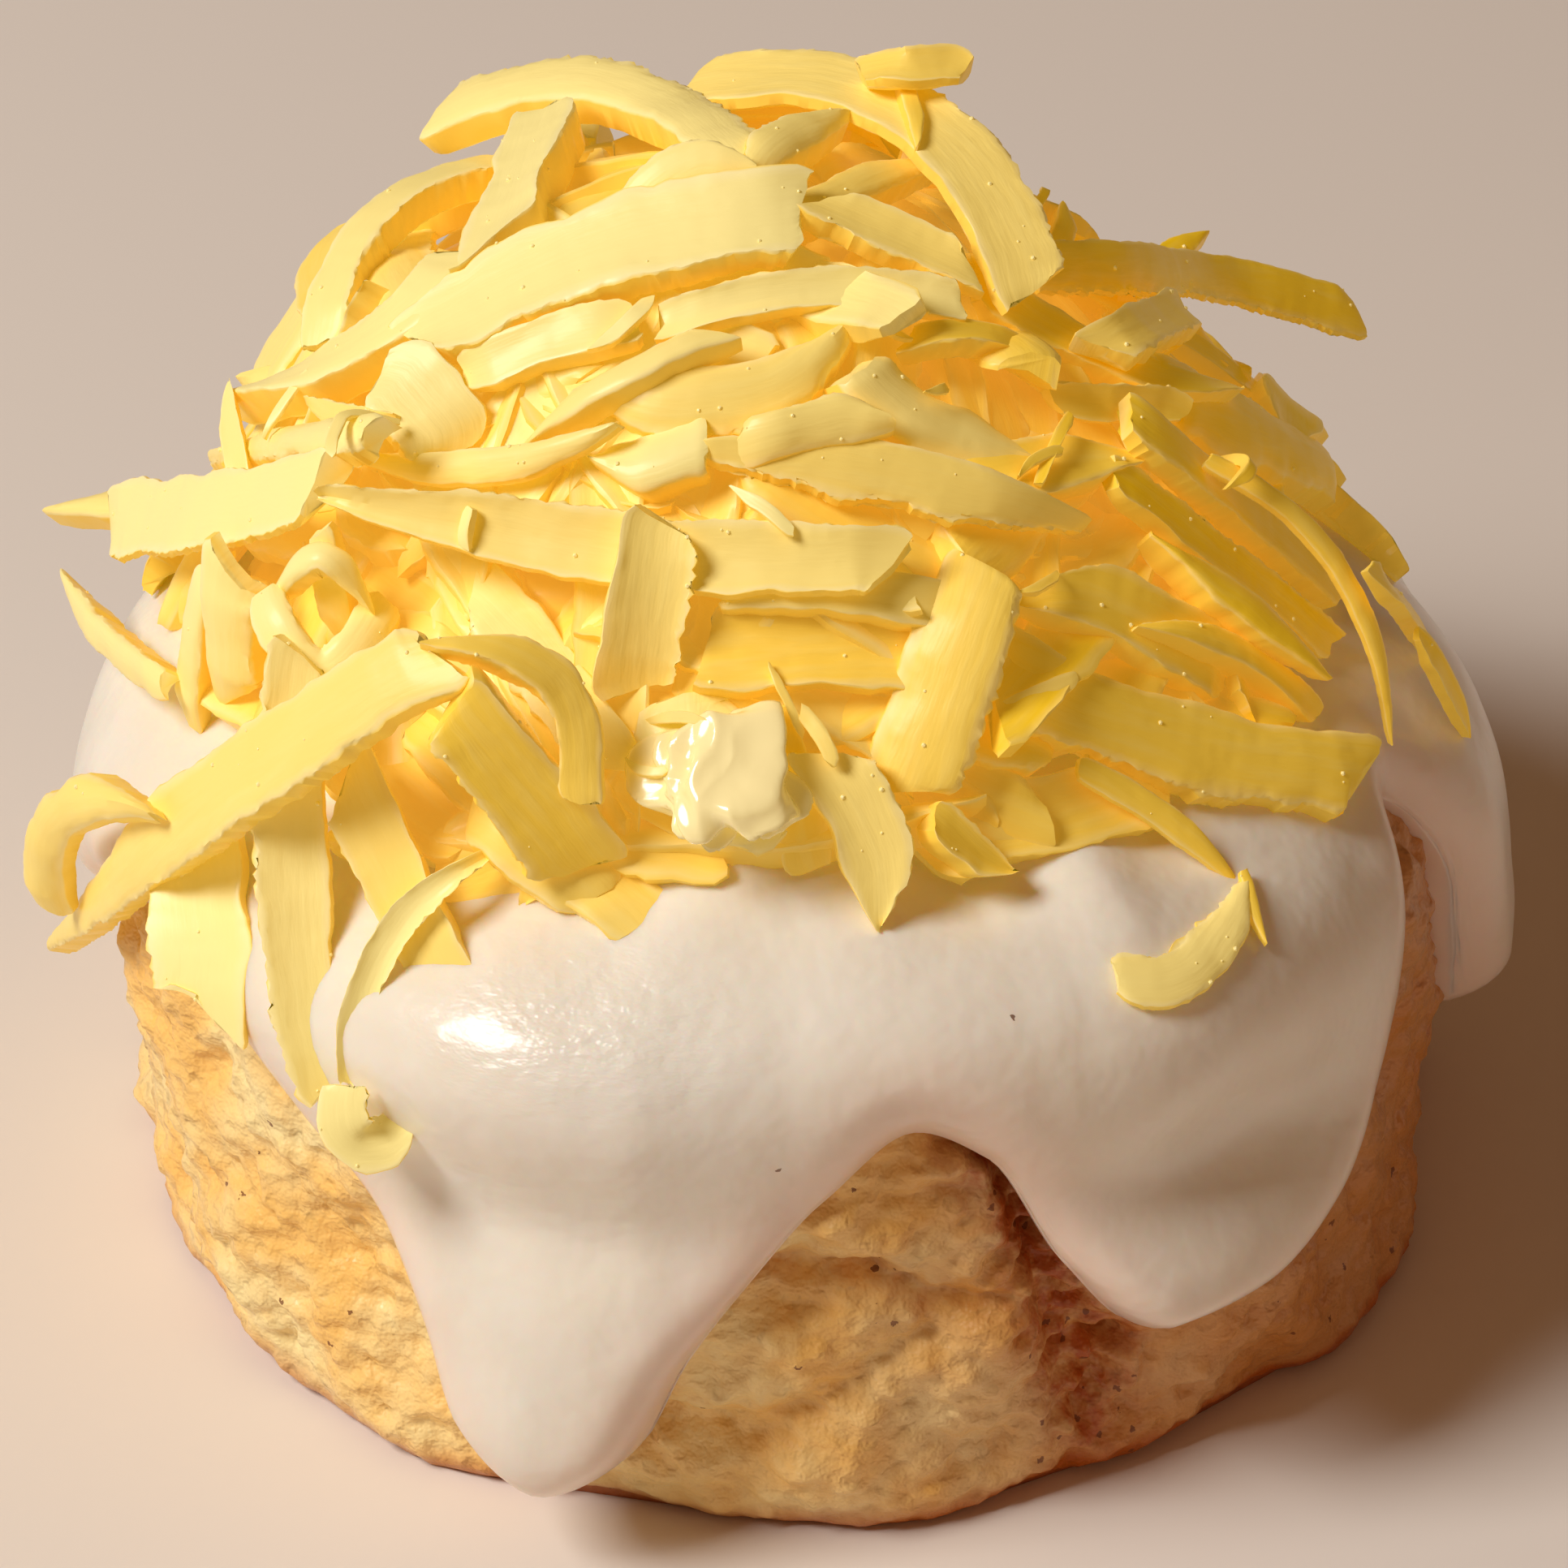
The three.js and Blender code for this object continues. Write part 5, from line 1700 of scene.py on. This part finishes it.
class StripTree(GeometryTree):
    """Sweeps ragged strips along laid shreds."""

    name = "strips"
    inputs: Sockets = {
        "Thickness": (NUMBER, 2.1 * MM),
        "Step": (NUMBER, 0.32 * MM),
        "Teeth": (NUMBER, 1.5 * MM),
        "Tooth size": (NUMBER, 0.5 * MM),
        "Camber": (NUMBER, 0.6 * MM),
        "Relief": (NUMBER, 0.3 * MM),
        "Profile points": ("NodeSocketInt", 22),
    }

    def grow(self, loom: Loom, given: Value) -> Socket:
        """See GeometryTree.grow."""
        lines = loom.add("GeometryNodeMeshToCurve", {0: given["Geometry"]}).outputs[0]
        lines = loom.add("GeometryNodeCurveSplineType", {0: lines}, spline_type="CATMULL_ROM").outputs[0]
        evenly = {"Curve": lines, "Length": given["Step"]}
        lines = loom.add("GeometryNodeResampleCurve", evenly, mode="LENGTH").outputs[0]
        place = loom.add("GeometryNodeInputPosition").outputs[0]
        lines = loom.store(lines, "spine", place, "FLOAT_VECTOR")
        section = {"Profile Curve": self._section(loom, given["Profile points"]), "Fill Caps": True}
        swept = loom.add("GeometryNodeCurveToMesh", {"Curve": lines, **section}).outputs[0]
        moved = {"Geometry": swept, "Position": self._place(loom, given)}
        strip = loom.add("GeometryNodeSetPosition", moved).outputs[0]
        side = loom.read("side")
        breadth = loom.math("ABSOLUTE", side)
        flank = loom.remap(breadth, (0.96, 0.99))
        edge = loom.product(loom.remap(breadth, (0.8, 0.95)), loom.minus(1.0, flank))
        strip = loom.store(loom.store(strip, "edge", edge), "flank", flank)
        aside = loom.product(side, loom.read("half"))
        grain = loom.add("ShaderNodeCombineXYZ", {0: loom.read("run"), 1: aside, 2: loom.read("tint")}).outputs[0]
        strip = loom.store(strip, "grain", grain, "FLOAT_VECTOR")
        return loom.real(loom.add("GeometryNodeFlipFaces", {0: strip}).outputs[0])

    @staticmethod
    def _section(loom: Loom, count: Socket) -> Socket:
        """A round section that carries its squared-off place across and through the strip.

        Args:
            loom: The tree's canvas.
            count: Number of its points.

        Returns:
            The section.
        """
        inputs = {"Resolution": count, "Radius": 0.2 * MM}
        section = loom.add("GeometryNodeCurvePrimitiveCircle", inputs, mode="RADIUS").outputs[0]
        half_step = loom.plus(loom.add("GeometryNodeInputIndex").outputs[0], 0.5)
        angle = loom.product(loom.math("DIVIDE", half_step, count), FULL_TURN)
        for name, operation, power in (("side", "COSINE", 0.5), ("face", "SINE", 0.16)):
            wave = loom.math(operation, angle)
            squared = loom.product(loom.math("SIGN", wave), loom.math("POWER", loom.math("ABSOLUTE", wave), power))
            section = loom.store(section, name, squared)
        return section

    @staticmethod
    def _place(loom: Loom, given: Value) -> Socket:
        """Where each point of a strip lies: its width, thickness, camber, oblique ends and torn edges.

        Args:
            loom: The tree's canvas.
            given: The sockets of the tree's inputs.

        Returns:
            The place.
        """
        times = loom.product
        names = ("side", "face", "half", "torn", "blade", "wedge", "thick", "curl", "skew")
        side, face, half, torn, blade, wedge, thick, curl, skew = (loom.read(name) for name in names)
        spine, across, out, along = (loom.read(name, "FLOAT_VECTOR") for name in ("spine", "across", "out", "along"))
        first, last = loom.near("run", 2.4), loom.near("rest", 2.4)
        tips = loom.math("MAXIMUM", loom.near("run", 0.5), loom.near("rest", 0.5))
        flat, apart = (
            loom.vector("ADD", spine, loom.vector("SCALE", across, times(side, aside))) for aside in (half, 0.006)
        )

        tooth = times(loom.uneven(apart, given["Tooth size"]), given["Teeth"])
        outer = loom.math("POWER", loom.math("ABSOLUTE", side), 3.0)
        torn = loom.math("MAXIMUM", times(side, torn), 0.12)
        teeth = times(tooth, times(outer, torn), loom.math("SIGN", side))
        corner = loom.minus(1.0, times(tips, 0.12))
        swell = times(loom.uneven(apart, 5 * MM), 0.8)
        wide = loom.plus(times(side, half, times(loom.plus(swell, 1.0), corner)), teeth)

        wedge = loom.plus(times(side, wedge, 0.85), 1.0)
        body = times(given["Thickness"], thick, 0.5)
        thick = times(body, wedge, loom.minus(1.0, times(loom.math("MAXIMUM", first, last), blade)), corner)
        bumps = times(loom.uneven(flat, 3.5 * MM), given["Relief"])
        cup = times(loom.minus(times(side, side), 0.4), given["Camber"])
        lift = loom.plus(times(face, thick), loom.plus(times(cup, curl), bumps))

        slant = times(side, half, loom.minus(times(first, skew), times(last, skew)))
        fray = times(loom.uneven(flat, 1.1 * MM, 3.0), times(tips, 1.6 * MM))
        moved = spine
        for way, far in ((across, wide), (along, loom.plus(slant, fray)), (out, lift)):
            moved = loom.vector("ADD", moved, loom.vector("SCALE", way, far))
        return moved


def applied(piece: bpy.types.Object, tree: bpy.types.NodeTree, settings: dict[str, Value]) -> bpy.types.Object:
    """Runs a node tree on an object and keeps the result as a plain mesh.

    Args:
        piece: The object.
        tree: The tree.
        settings: Values for its named inputs.

    Returns:
        The same object with its new mesh and no modifier.
    """
    modifier = piece.modifiers.new("nodes", "NODES")
    modifier.node_group = tree
    names = {item.name: item.identifier for item in tree.interface.items_tree if item.in_out == "INPUT"}
    for name, value in settings.items():
        modifier[names[name]] = value
    graph = bpy.context.evaluated_depsgraph_get()
    evaluated = piece.evaluated_get(graph)
    mesh = bpy.data.meshes.new_from_object(evaluated, preserve_all_data_layers=True, depsgraph=graph)
    piece.modifiers.clear()
    piece.data = mesh
    return piece


# ------------------------------------------------------------------ heap


@dataclass
class Melt:
    """A small folded lump of cheese that melted and set again, glossy.

    Attributes:
        at: Where it is seen from the front, right of and above the point looked at.
        reach: Half its size across, up and out of the heap.
        folds: How deep its folds are, as a share of its size.
    """

    at: tuple[float, float] = (-3.7, 0.4)
    reach: tuple[float, float, float] = (4.7, 5.0, 1.8)
    folds: float = 0.5
    rings: int = 56
    columns: int = 96

    def build(self, ground: Ground, seat: Seat) -> bpy.types.Object:
        """Makes the lump where it lies on the ground.

        Args:
            ground: What it lies on.
            seat: Where it is seen from.

        Returns:
            The piece.
        """
        sight = np.array([self.at])
        middle = seat.point(sight, seat.depths(sight, ground))[0]
        polars = math.pi * (np.arange(self.rings) + 0.5) / self.rings
        azimuths = FULL_TURN * np.arange(self.columns) / self.columns
        polar, azimuth = np.meshgrid(polars, azimuths, indexing="ij")
        ways = np.stack([np.sin(polar) * np.cos(azimuth), np.sin(polar) * np.sin(azimuth), np.cos(polar)], axis=-1)
        ways = np.concatenate([[[0, 0, 1]], ways.reshape(-1, 3), [[0, 0, -1]]])
        fold = np.abs(smooth_noise(ways, 0.75, 5.3)) + 0.3 * np.abs(smooth_noise(ways, 0.38, 6.6))
        size = (1.05 + 0.7 * smooth_noise(ways, 1.1, 4.2) - self.folds * fold)[:, None]
        axes = np.stack([seat.right, seat.up * 0.8 + np.array([0, 0.3, 0.0]), -seat.forward])
        points = middle + (ways * size * self.reach) @ axes
        rings = points[1:-1].reshape(self.rings, self.columns, 3)
        piece = closed_skin("cheese_melt", points[0], rings, points[-1])
        # Painted glow: a depth of 0.2 gives the lump part of the stronger emission.
        for name, value in (("tint", 1.0), ("wet", 1.0), ("depth", 0.2), ("edge", 1.4)):
            set_attribute(piece.data, name, value)
        return piece


@dataclass
class Core:
    """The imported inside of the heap, with the relief of pressed shreds.

    Attributes:
        sunk: How much lower it lies than the loose shreds' depth.
        side: Its radius.
        rim_start: Radius from which it bends down.
        rim_end: Radius at which it has bent down by rim_sunk.
    """

    sunk: float = 2.4
    side: float = 33.0
    rim_start: float = 20.0
    rim_end: float = 34.0
    rim_sunk: float = 5.0
    rings: int = 60
    columns: int = 160

    def build(self, mound: Mound, bottom: float) -> bpy.types.Object:
        """Makes the core under a mound, down to the height of its bottom.

        Args:
            mound: The outer form.
            bottom: Height of its lowest point.

        Returns:
            The piece.
        """
        azimuths = (np.arange(self.columns) / self.columns) * FULL_TURN
        azimuth, r = np.meshgrid(azimuths, self.side * (np.arange(self.rings) + 1) / self.rings)
        x, y = mound.x + r * np.sin(azimuth), mound.y - r * np.cos(azimuth)
        rim = np.clip((r - self.rim_start) / (self.rim_end - self.rim_start), 0, 1)
        z = mound.height(x, y) - mound.loose - self.sunk - self.rim_sunk * rim**2
        rings = np.stack([x, y, z], axis=-1)
        drawn = rings.reshape(-1, 3) * (0.35, 1.0, 0.8)
        bumps = 0.9 * smooth_noise(drawn, 2.6, 4.4) + 0.4 * smooth_noise(rings, 1.2, 7.7)
        rings = rings + mound.normal(rings) * bumps.reshape(z.shape)[..., None]
        top = (mound.x, mound.y, rings[0, :, 2].mean())
        piece = closed_skin("cheese_core", top, rings, (mound.x, mound.y, bottom))
        # Painted glow and shade: the core gets the full deep colour and the strong emission, and a tint near the
        # ripe, shaded end.
        for name, value in (("tint", 0.1), ("depth", 1.0), ("edge", 0.0)):
            set_attribute(piece.data, name, value)
        return piece


@dataclass
class Heap:
    """The heap of grated cheese: a packed core, inner shreds over it and the ones that show.

    Attributes:
        outer_plan: Azimuths of seats and how many shreds are strewn as seen from each, at the sides and the back.
        inner_plan: The same for the shreds under those.
        bits_plan: The same for the short bits on top.
        twist: Largest twist of a shred's end, in degrees.
        reach: How far from the heap's axis inner shreds and bits may lie.
        curl_clear: How far the middle of a curled shred lies off the icing.
        painted_light_way: The way the key light comes from; shreds where the heap faces it get painted light, a paler
            tint.
        sharpest: Angle in degrees over which an edge is sharp.
    """

    bun: Bun
    icing: Icing
    mound: Mound = field(default_factory=Mound)
    core: Core = field(default_factory=Core)
    melt: Melt = field(default_factory=Melt)
    outer_plan: Plan = ((100, 6), (130, 5), (160, 6), (190, 5), (220, 6), (250, 5))
    inner_plan: Plan = ((0, 60), (45, 24), (90, 20), (135, 18), (180, 18), (225, 18), (270, 20), (315, 24))
    bits_plan: Plan = ((0, 12), (60, 3), (120, 3), (180, 3), (240, 3), (300, 3))
    twist: float = 15.0
    reach: float = 34.0
    curl_clear: float = 0.5
    painted_light_way: tuple[float, float, float] = (-0.6, -0.35, 0.72)
    sharpest: float = 38.0

    def layer(self, sunk: float = 0.0, **settings: Value) -> Layer:
        """A layer on bare icing and core, with other settings if given."""
        return Layer(Ground(self.bun, self.icing, self.mound, sunk), self.mound, **settings)

    def strewn(self, plan: Plan, sizes: Strewing, layer: Layer, roll: Iterator[float]) -> list[Laid]:
        """Strews shreds as seen from seats round the roll.

        Args:
            plan: Azimuths and how many from each.
            sizes: Their sizes and where they fall.
            layer: What lays them.
            roll: The numbers.

        Returns:
            The laid shreds.
        """
        seats = [Seat(azimuth) for azimuth, count in plan for _ in range(count)]
        return [layer.lay(sizes.draw(seat, self.mound, roll), seat) for seat in seats]

    def curled(self, shred: Shred, path: Table, seat: Seat, skin: BVHTree) -> Laid:
        """A shred that lies curled on the icing.

        Args:
            shred: Its width, ends and cut.
            path: Where its middle is seen, from end to end.
            seat: Where it is seen from.
            skin: The icing.

        Returns:
            The laid shred.
        """
        sights = through(np.array(path, dtype=float), np.linspace(0, 1, 11))
        ways = seat.point(sights, np.ones(len(sights))) - seat.eye
        hits = [skin.ray_cast(Vector(seat.eye), Vector(way)) for way in ways]
        out = np.array([hit[1] for hit in hits])
        at = np.array([hit[0] for hit in hits]) + self.curl_clear * out
        along = unit(np.gradient(at, axis=0))
        return Laid(shred, at, along, out, np.cross(along, out), np.full(len(at), shred.width / 2))

    def inner(self, front: Seat) -> list[Laid]:
        """The shreds in the gaps of those that show.

        Args:
            front: The seat at the front.

        Returns:
            The laid shreds.
        """
        layer = self.layer(self.core.sunk, bedding=0.9, heaps=False)
        laid = self.strewn(self.inner_plan, Strewing(half_width=28, half_height=24, above=8), layer, dice(29))
        return self.within(laid) + [layer.lay(shred, front) for shred in TUCKED_SHREDS]

    def bits(self, ground: Ground) -> list[Laid]:
        """Short thin pieces that lie on top of everything.

        Args:
            ground: All that has been laid.

        Returns:
            The laid pieces.
        """
        layer = Layer(ground, self.mound, bedding=0.35, heaps=False)
        small = Strewing(2.4, 5, 0.5, 1.0, 0.4, above=10, half_width=27, half_height=21)
        laid = self.within(self.strewn(self.bits_plan, small, layer, dice(53)))
        return [replace(one, shred=replace(one.shred, cut=Cut.THREAD)) for one in laid]

    def within(self, laid: list[Laid]) -> list[Laid]:
        """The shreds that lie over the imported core, clear of the icing round it."""
        return [one for one in laid if self.mound.away(one.at).max() < self.reach]

    def looks(self, laid: list[Laid], roll: Iterator[float]) -> dict[str, Array]:
        """What differs from strip to strip.

        Args:
            laid: The shreds.
            roll: Numbers for their differences.

        Returns:
            One number for each strip, by name.
        """
        kinds = [one.shred.cut.value for one in laid]
        middles = np.array([one.at[len(one.at) // 2] for one in laid])
        # Painted light: shreds where the heap faces the key light get a paler tint.
        painted_light_share = np.clip((self.mound.normal(middles) @ np.array(self.painted_light_way) - 0.1) / 0.85, 0, 1)
        slender = np.minimum(1, np.array([one.shred.width for one in laid]) / 3.5)
        limits = {
            "thick": (0.8, 1.15), "torn side": (-1, 1), "torn": (0.3, 1.6), "tint": (-0.15, 0.35),
            "wedge": (-0.9, 0.9), "curl": (-1.3, 1.3), "skew": (-0.9, 0.9), "blade": (0, 0.5),
        }
        looks = {name: np.array([between(roll, *ends) for _ in laid]) for name, ends in limits.items()}
        looks["thick"] = np.array([kind.thick for kind in kinds]) * looks["thick"] * (0.35 + 0.65 * slender)
        torn_side = np.sign(looks.pop("torn side"))
        looks["torn"] = np.array([kind.torn for kind in kinds]) * torn_side * looks["torn"] * slender
        paler = np.array([kind.paler for kind in kinds])
        looks["tint"] = np.clip(0.85 * painted_light_share + looks["tint"] + paler, 0, 1)
        looks["curl"] = looks["curl"] * slender
        return looks

    def strips(
        self, name: str, laid: list[Laid], tree: bpy.types.NodeTree, roll: Iterator[float], ground: Ground,
        deep: float = 0.0, **settings: Value,
    ) -> bpy.types.Object:
        """Sweeps laid shreds into one mesh.

        Args:
            name: The piece's name.
            laid: The shreds.
            tree: The strip tree.
            roll: Numbers for their differences.
            ground: All that has been laid.
            deep: How deep in the heap they lie, from 0 to 1; it adds to their painted glow.
            settings: Values for the tree's inputs, with underscores for spaces.

        Returns:
            The piece.
        """
        settled = [one.settled(roll, self.twist) for one in laid]
        each = len(settled[0].at)
        points = np.concatenate([one.at for one in settled])
        edges = [(start + i, start + i + 1) for start in range(0, len(points), each) for i in range(each - 1)]
        piece = mesh_object(name, points, [], edges)
        for vector in ("out", "across", "along"):
            set_attribute(piece.data, vector, np.concatenate([getattr(one, vector) for one in settled]))
        steps = [np.linalg.norm(np.diff(one.at, axis=0), axis=1) for one in settled]
        runs = [np.concatenate([[0], np.cumsum(step)]) for step in steps]
        rests = [run[-1] - run for run in runs]
        for key, rows in (("half", [one.half for one in settled]), ("run", runs), ("rest", rests)):
            set_attribute(piece.data, key, np.concatenate(rows) * MM)
        for key, values in self.looks(laid, roll).items():
            set_attribute(piece.data, key, np.repeat(values, each))
        applied(piece, tree, {key.replace("_", " "): value for key, value in settings.items()})
        # Painted glow: how deep each point lies in the heap sets its deep colour and stronger emission.
        hollow = ground.hollow(corners(piece))
        set_attribute(piece.data, "depth", np.clip(deep + (1 - deep) * hollow, 0, 1))
        piece.data.shade_smooth()
        piece.data.set_sharp_from_angle(angle=math.radians(self.sharpest))
        return piece

    @staticmethod
    def crumbs(strips: bpy.types.Object, material: bpy.types.Material) -> bpy.types.Object:
        """Crumbs strewn over strips.

        Args:
            strips: The strips.
            material: The finish.

        Returns:
            The piece.
        """
        piece = bpy.data.objects.new("cheese_crumbs", strips.data.copy())
        bpy.context.scene.collection.objects.link(piece)
        return applied(piece, CrumbTree().build(material), {})

    def build(self, finish: Finish, coat: bpy.types.Object) -> list[bpy.types.Object]:
        """Makes all pieces of the heap.

        Args:
            finish: The cheese's finish.
            coat: The icing that loose shreds lie on.

        Returns:
            The pieces.
        """
        faces = [tuple(face.vertices) for face in coat.data.polygons]
        skin = BVHTree.FromPolygons(corners(coat).tolist(), faces)
        material, front, roll = finish.material(), Seat(), dice(5)
        tree = StripTree().build(material)
        layer = self.layer()
        ground = layer.ground
        around_it = self.strewn(self.outer_plan, Strewing(), layer, dice(11))
        shown = [layer.lay(shred, front) for shred in FRONT_SHREDS]
        shown += [self.curled(shred, path, front, skin) for shred, path in CURLED_SHREDS]
        core, melt = self.core.build(self.mound, self.bun.shoulder), self.melt.build(ground, front)
        for piece in (core, melt):
            piece.data.materials.append(material)
        shreds_front = self.strips("cheese_shreds_front", shown, tree, roll, ground)
        coarse, fine = {"Step": 0.6 * MM, "Profile_points": 14}, {"Step": 0.4 * MM}
        small = {"Profile_points": 12, "Camber": 0.1 * MM}
        return [
            core,
            self.strips("cheese_shreds_inner", self.inner(front), tree, roll, ground, 0.15, **coarse),
            self.strips("cheese_shreds_round", around_it, tree, roll, ground, **fine),
            shreds_front,
            self.strips("cheese_bits", self.bits(ground), tree, roll, ground, **fine, **small),
            melt,
            self.crumbs(shreds_front, material),
        ]


# ------------------------------------------------------------------ stage


@dataclass(frozen=True)
class Lamp:
    """A square soft light that looks at the roll.

    Attributes:
        name: Its name.
        place: Where it is.
        side: Its side.
        energy: Watts.
        tint: Its colour.
    """

    name: str
    place: tuple[float, float, float]
    side: float
    energy: float
    tint: tuple[float, float, float]

    target = (0.0, 0.0, 35.0)

    def build(self) -> None:
        """Adds the light to the scene."""
        lamp = bpy.data.lights.new(self.name, "AREA")
        lamp.size, lamp.energy, lamp.color = self.side * MM, self.energy, self.tint
        piece = bpy.data.objects.new(self.name, lamp)
        piece.location = Vector(self.place) * MM
        way = Vector(self.target) * MM - piece.location
        piece.rotation_euler = way.to_track_quat("-Z", "Y").to_euler()
        bpy.context.scene.collection.objects.link(piece)


@dataclass
class Studio:
    """Floor, light and camera.

    Attributes:
        floor_half: Half the floor's side.
        floor_under: How far the floor lies below the roll.
        world: Colour of the light from all sides.
        picture: Width of what the camera sees at the roll.
        sensor: Width of its sensor.
        clip: Nearest and farthest distance it sees, in metres.
    """

    floor_half: float = 3000.0
    floor_under: float = 0.05
    world: Colour = (1.0, 0.54, 0.27, 1.0)
    world_strength: float = 0.15
    picture: float = 96.6
    sensor: float = 36.0
    clip: tuple[float, float] = (0.01, 20.0)
    lamps: tuple[Lamp, ...] = (
        Lamp("key", (-545, -235, 680), 330, 6.4, (1.0, 0.985, 0.955)),
        Lamp("fill", (700, -500, 260), 500, 0.32, (1.0, 0.6, 0.33)),
    )

    def floor(self) -> bpy.types.Object:
        """A plain pale floor."""
        signs = ((-1, -1), (1, -1), (1, 1), (-1, 1))
        points = np.array([(x * self.floor_half, y * self.floor_half, -self.floor_under) for x, y in signs])
        floor = mesh_object("floor", points, [(0, 1, 2, 3)])
        floor.data.materials.append(FloorFinish().material())
        return floor

    def light(self) -> None:
        """Soft light from the upper left and a weak warm one from the right."""
        world = bpy.data.worlds.new("studio")
        world.use_nodes = True
        background = world.node_tree.nodes["Background"]
        background.inputs["Color"].default_value = self.world
        background.inputs["Strength"].default_value = self.world_strength
        bpy.context.scene.world = world
        bpy.context.scene.view_settings.view_transform = "Standard"
        for lamp in self.lamps:
            lamp.build()

    def camera(self) -> None:
        """The camera where the photograph was taken from."""
        seat = Seat()
        data = bpy.data.cameras.new("camera")
        data.sensor_width = self.sensor
        data.lens = self.sensor * seat.distance / self.picture
        data.clip_start, data.clip_end = self.clip
        camera = bpy.data.objects.new("camera", data)
        camera.location = Vector(seat.eye) * MM
        camera.rotation_euler = (math.radians(90 - seat.elevation), 0, 0)
        bpy.context.scene.collection.objects.link(camera)
        bpy.context.scene.camera = camera


def place(piece: bpy.types.Object, slot: str, node: str, finish: Finish | None = None) -> None:
    """Hands a piece over to the frame.

    Args:
        piece: The piece.
        slot: The record's material slot; not used.
        node: The CAD node that it replaces.
        finish: Its finish, if it has none yet.
    """
    if finish is not None:
        piece.data.materials.clear()
        piece.data.materials.append(finish.material())
    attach(piece, "root")
    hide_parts(node)
    log.info("%s: %d faces", piece.name, len(piece.data.polygons))


def main() -> None:
    """Builds the roll and its stage."""
    logging.basicConfig(level=logging.INFO, format="%(name)s %(message)s")
    studio = Studio()
    studio.camera()
    studio.light()
    studio.floor()
    bun = Bun()
    icing = Icing(bun)
    heap = Heap(bun, icing)
    place(bun.build(), "crumb_crust", "bun", CrustFinish())
    coat = icing.build()
    place(coat, "icing", "icing", IcingFinish())
    for piece in heap.build(CheeseFinish(), coat):
        place(piece, "cheese", "cheese_heap")


if __name__ == "__main__":
    main()
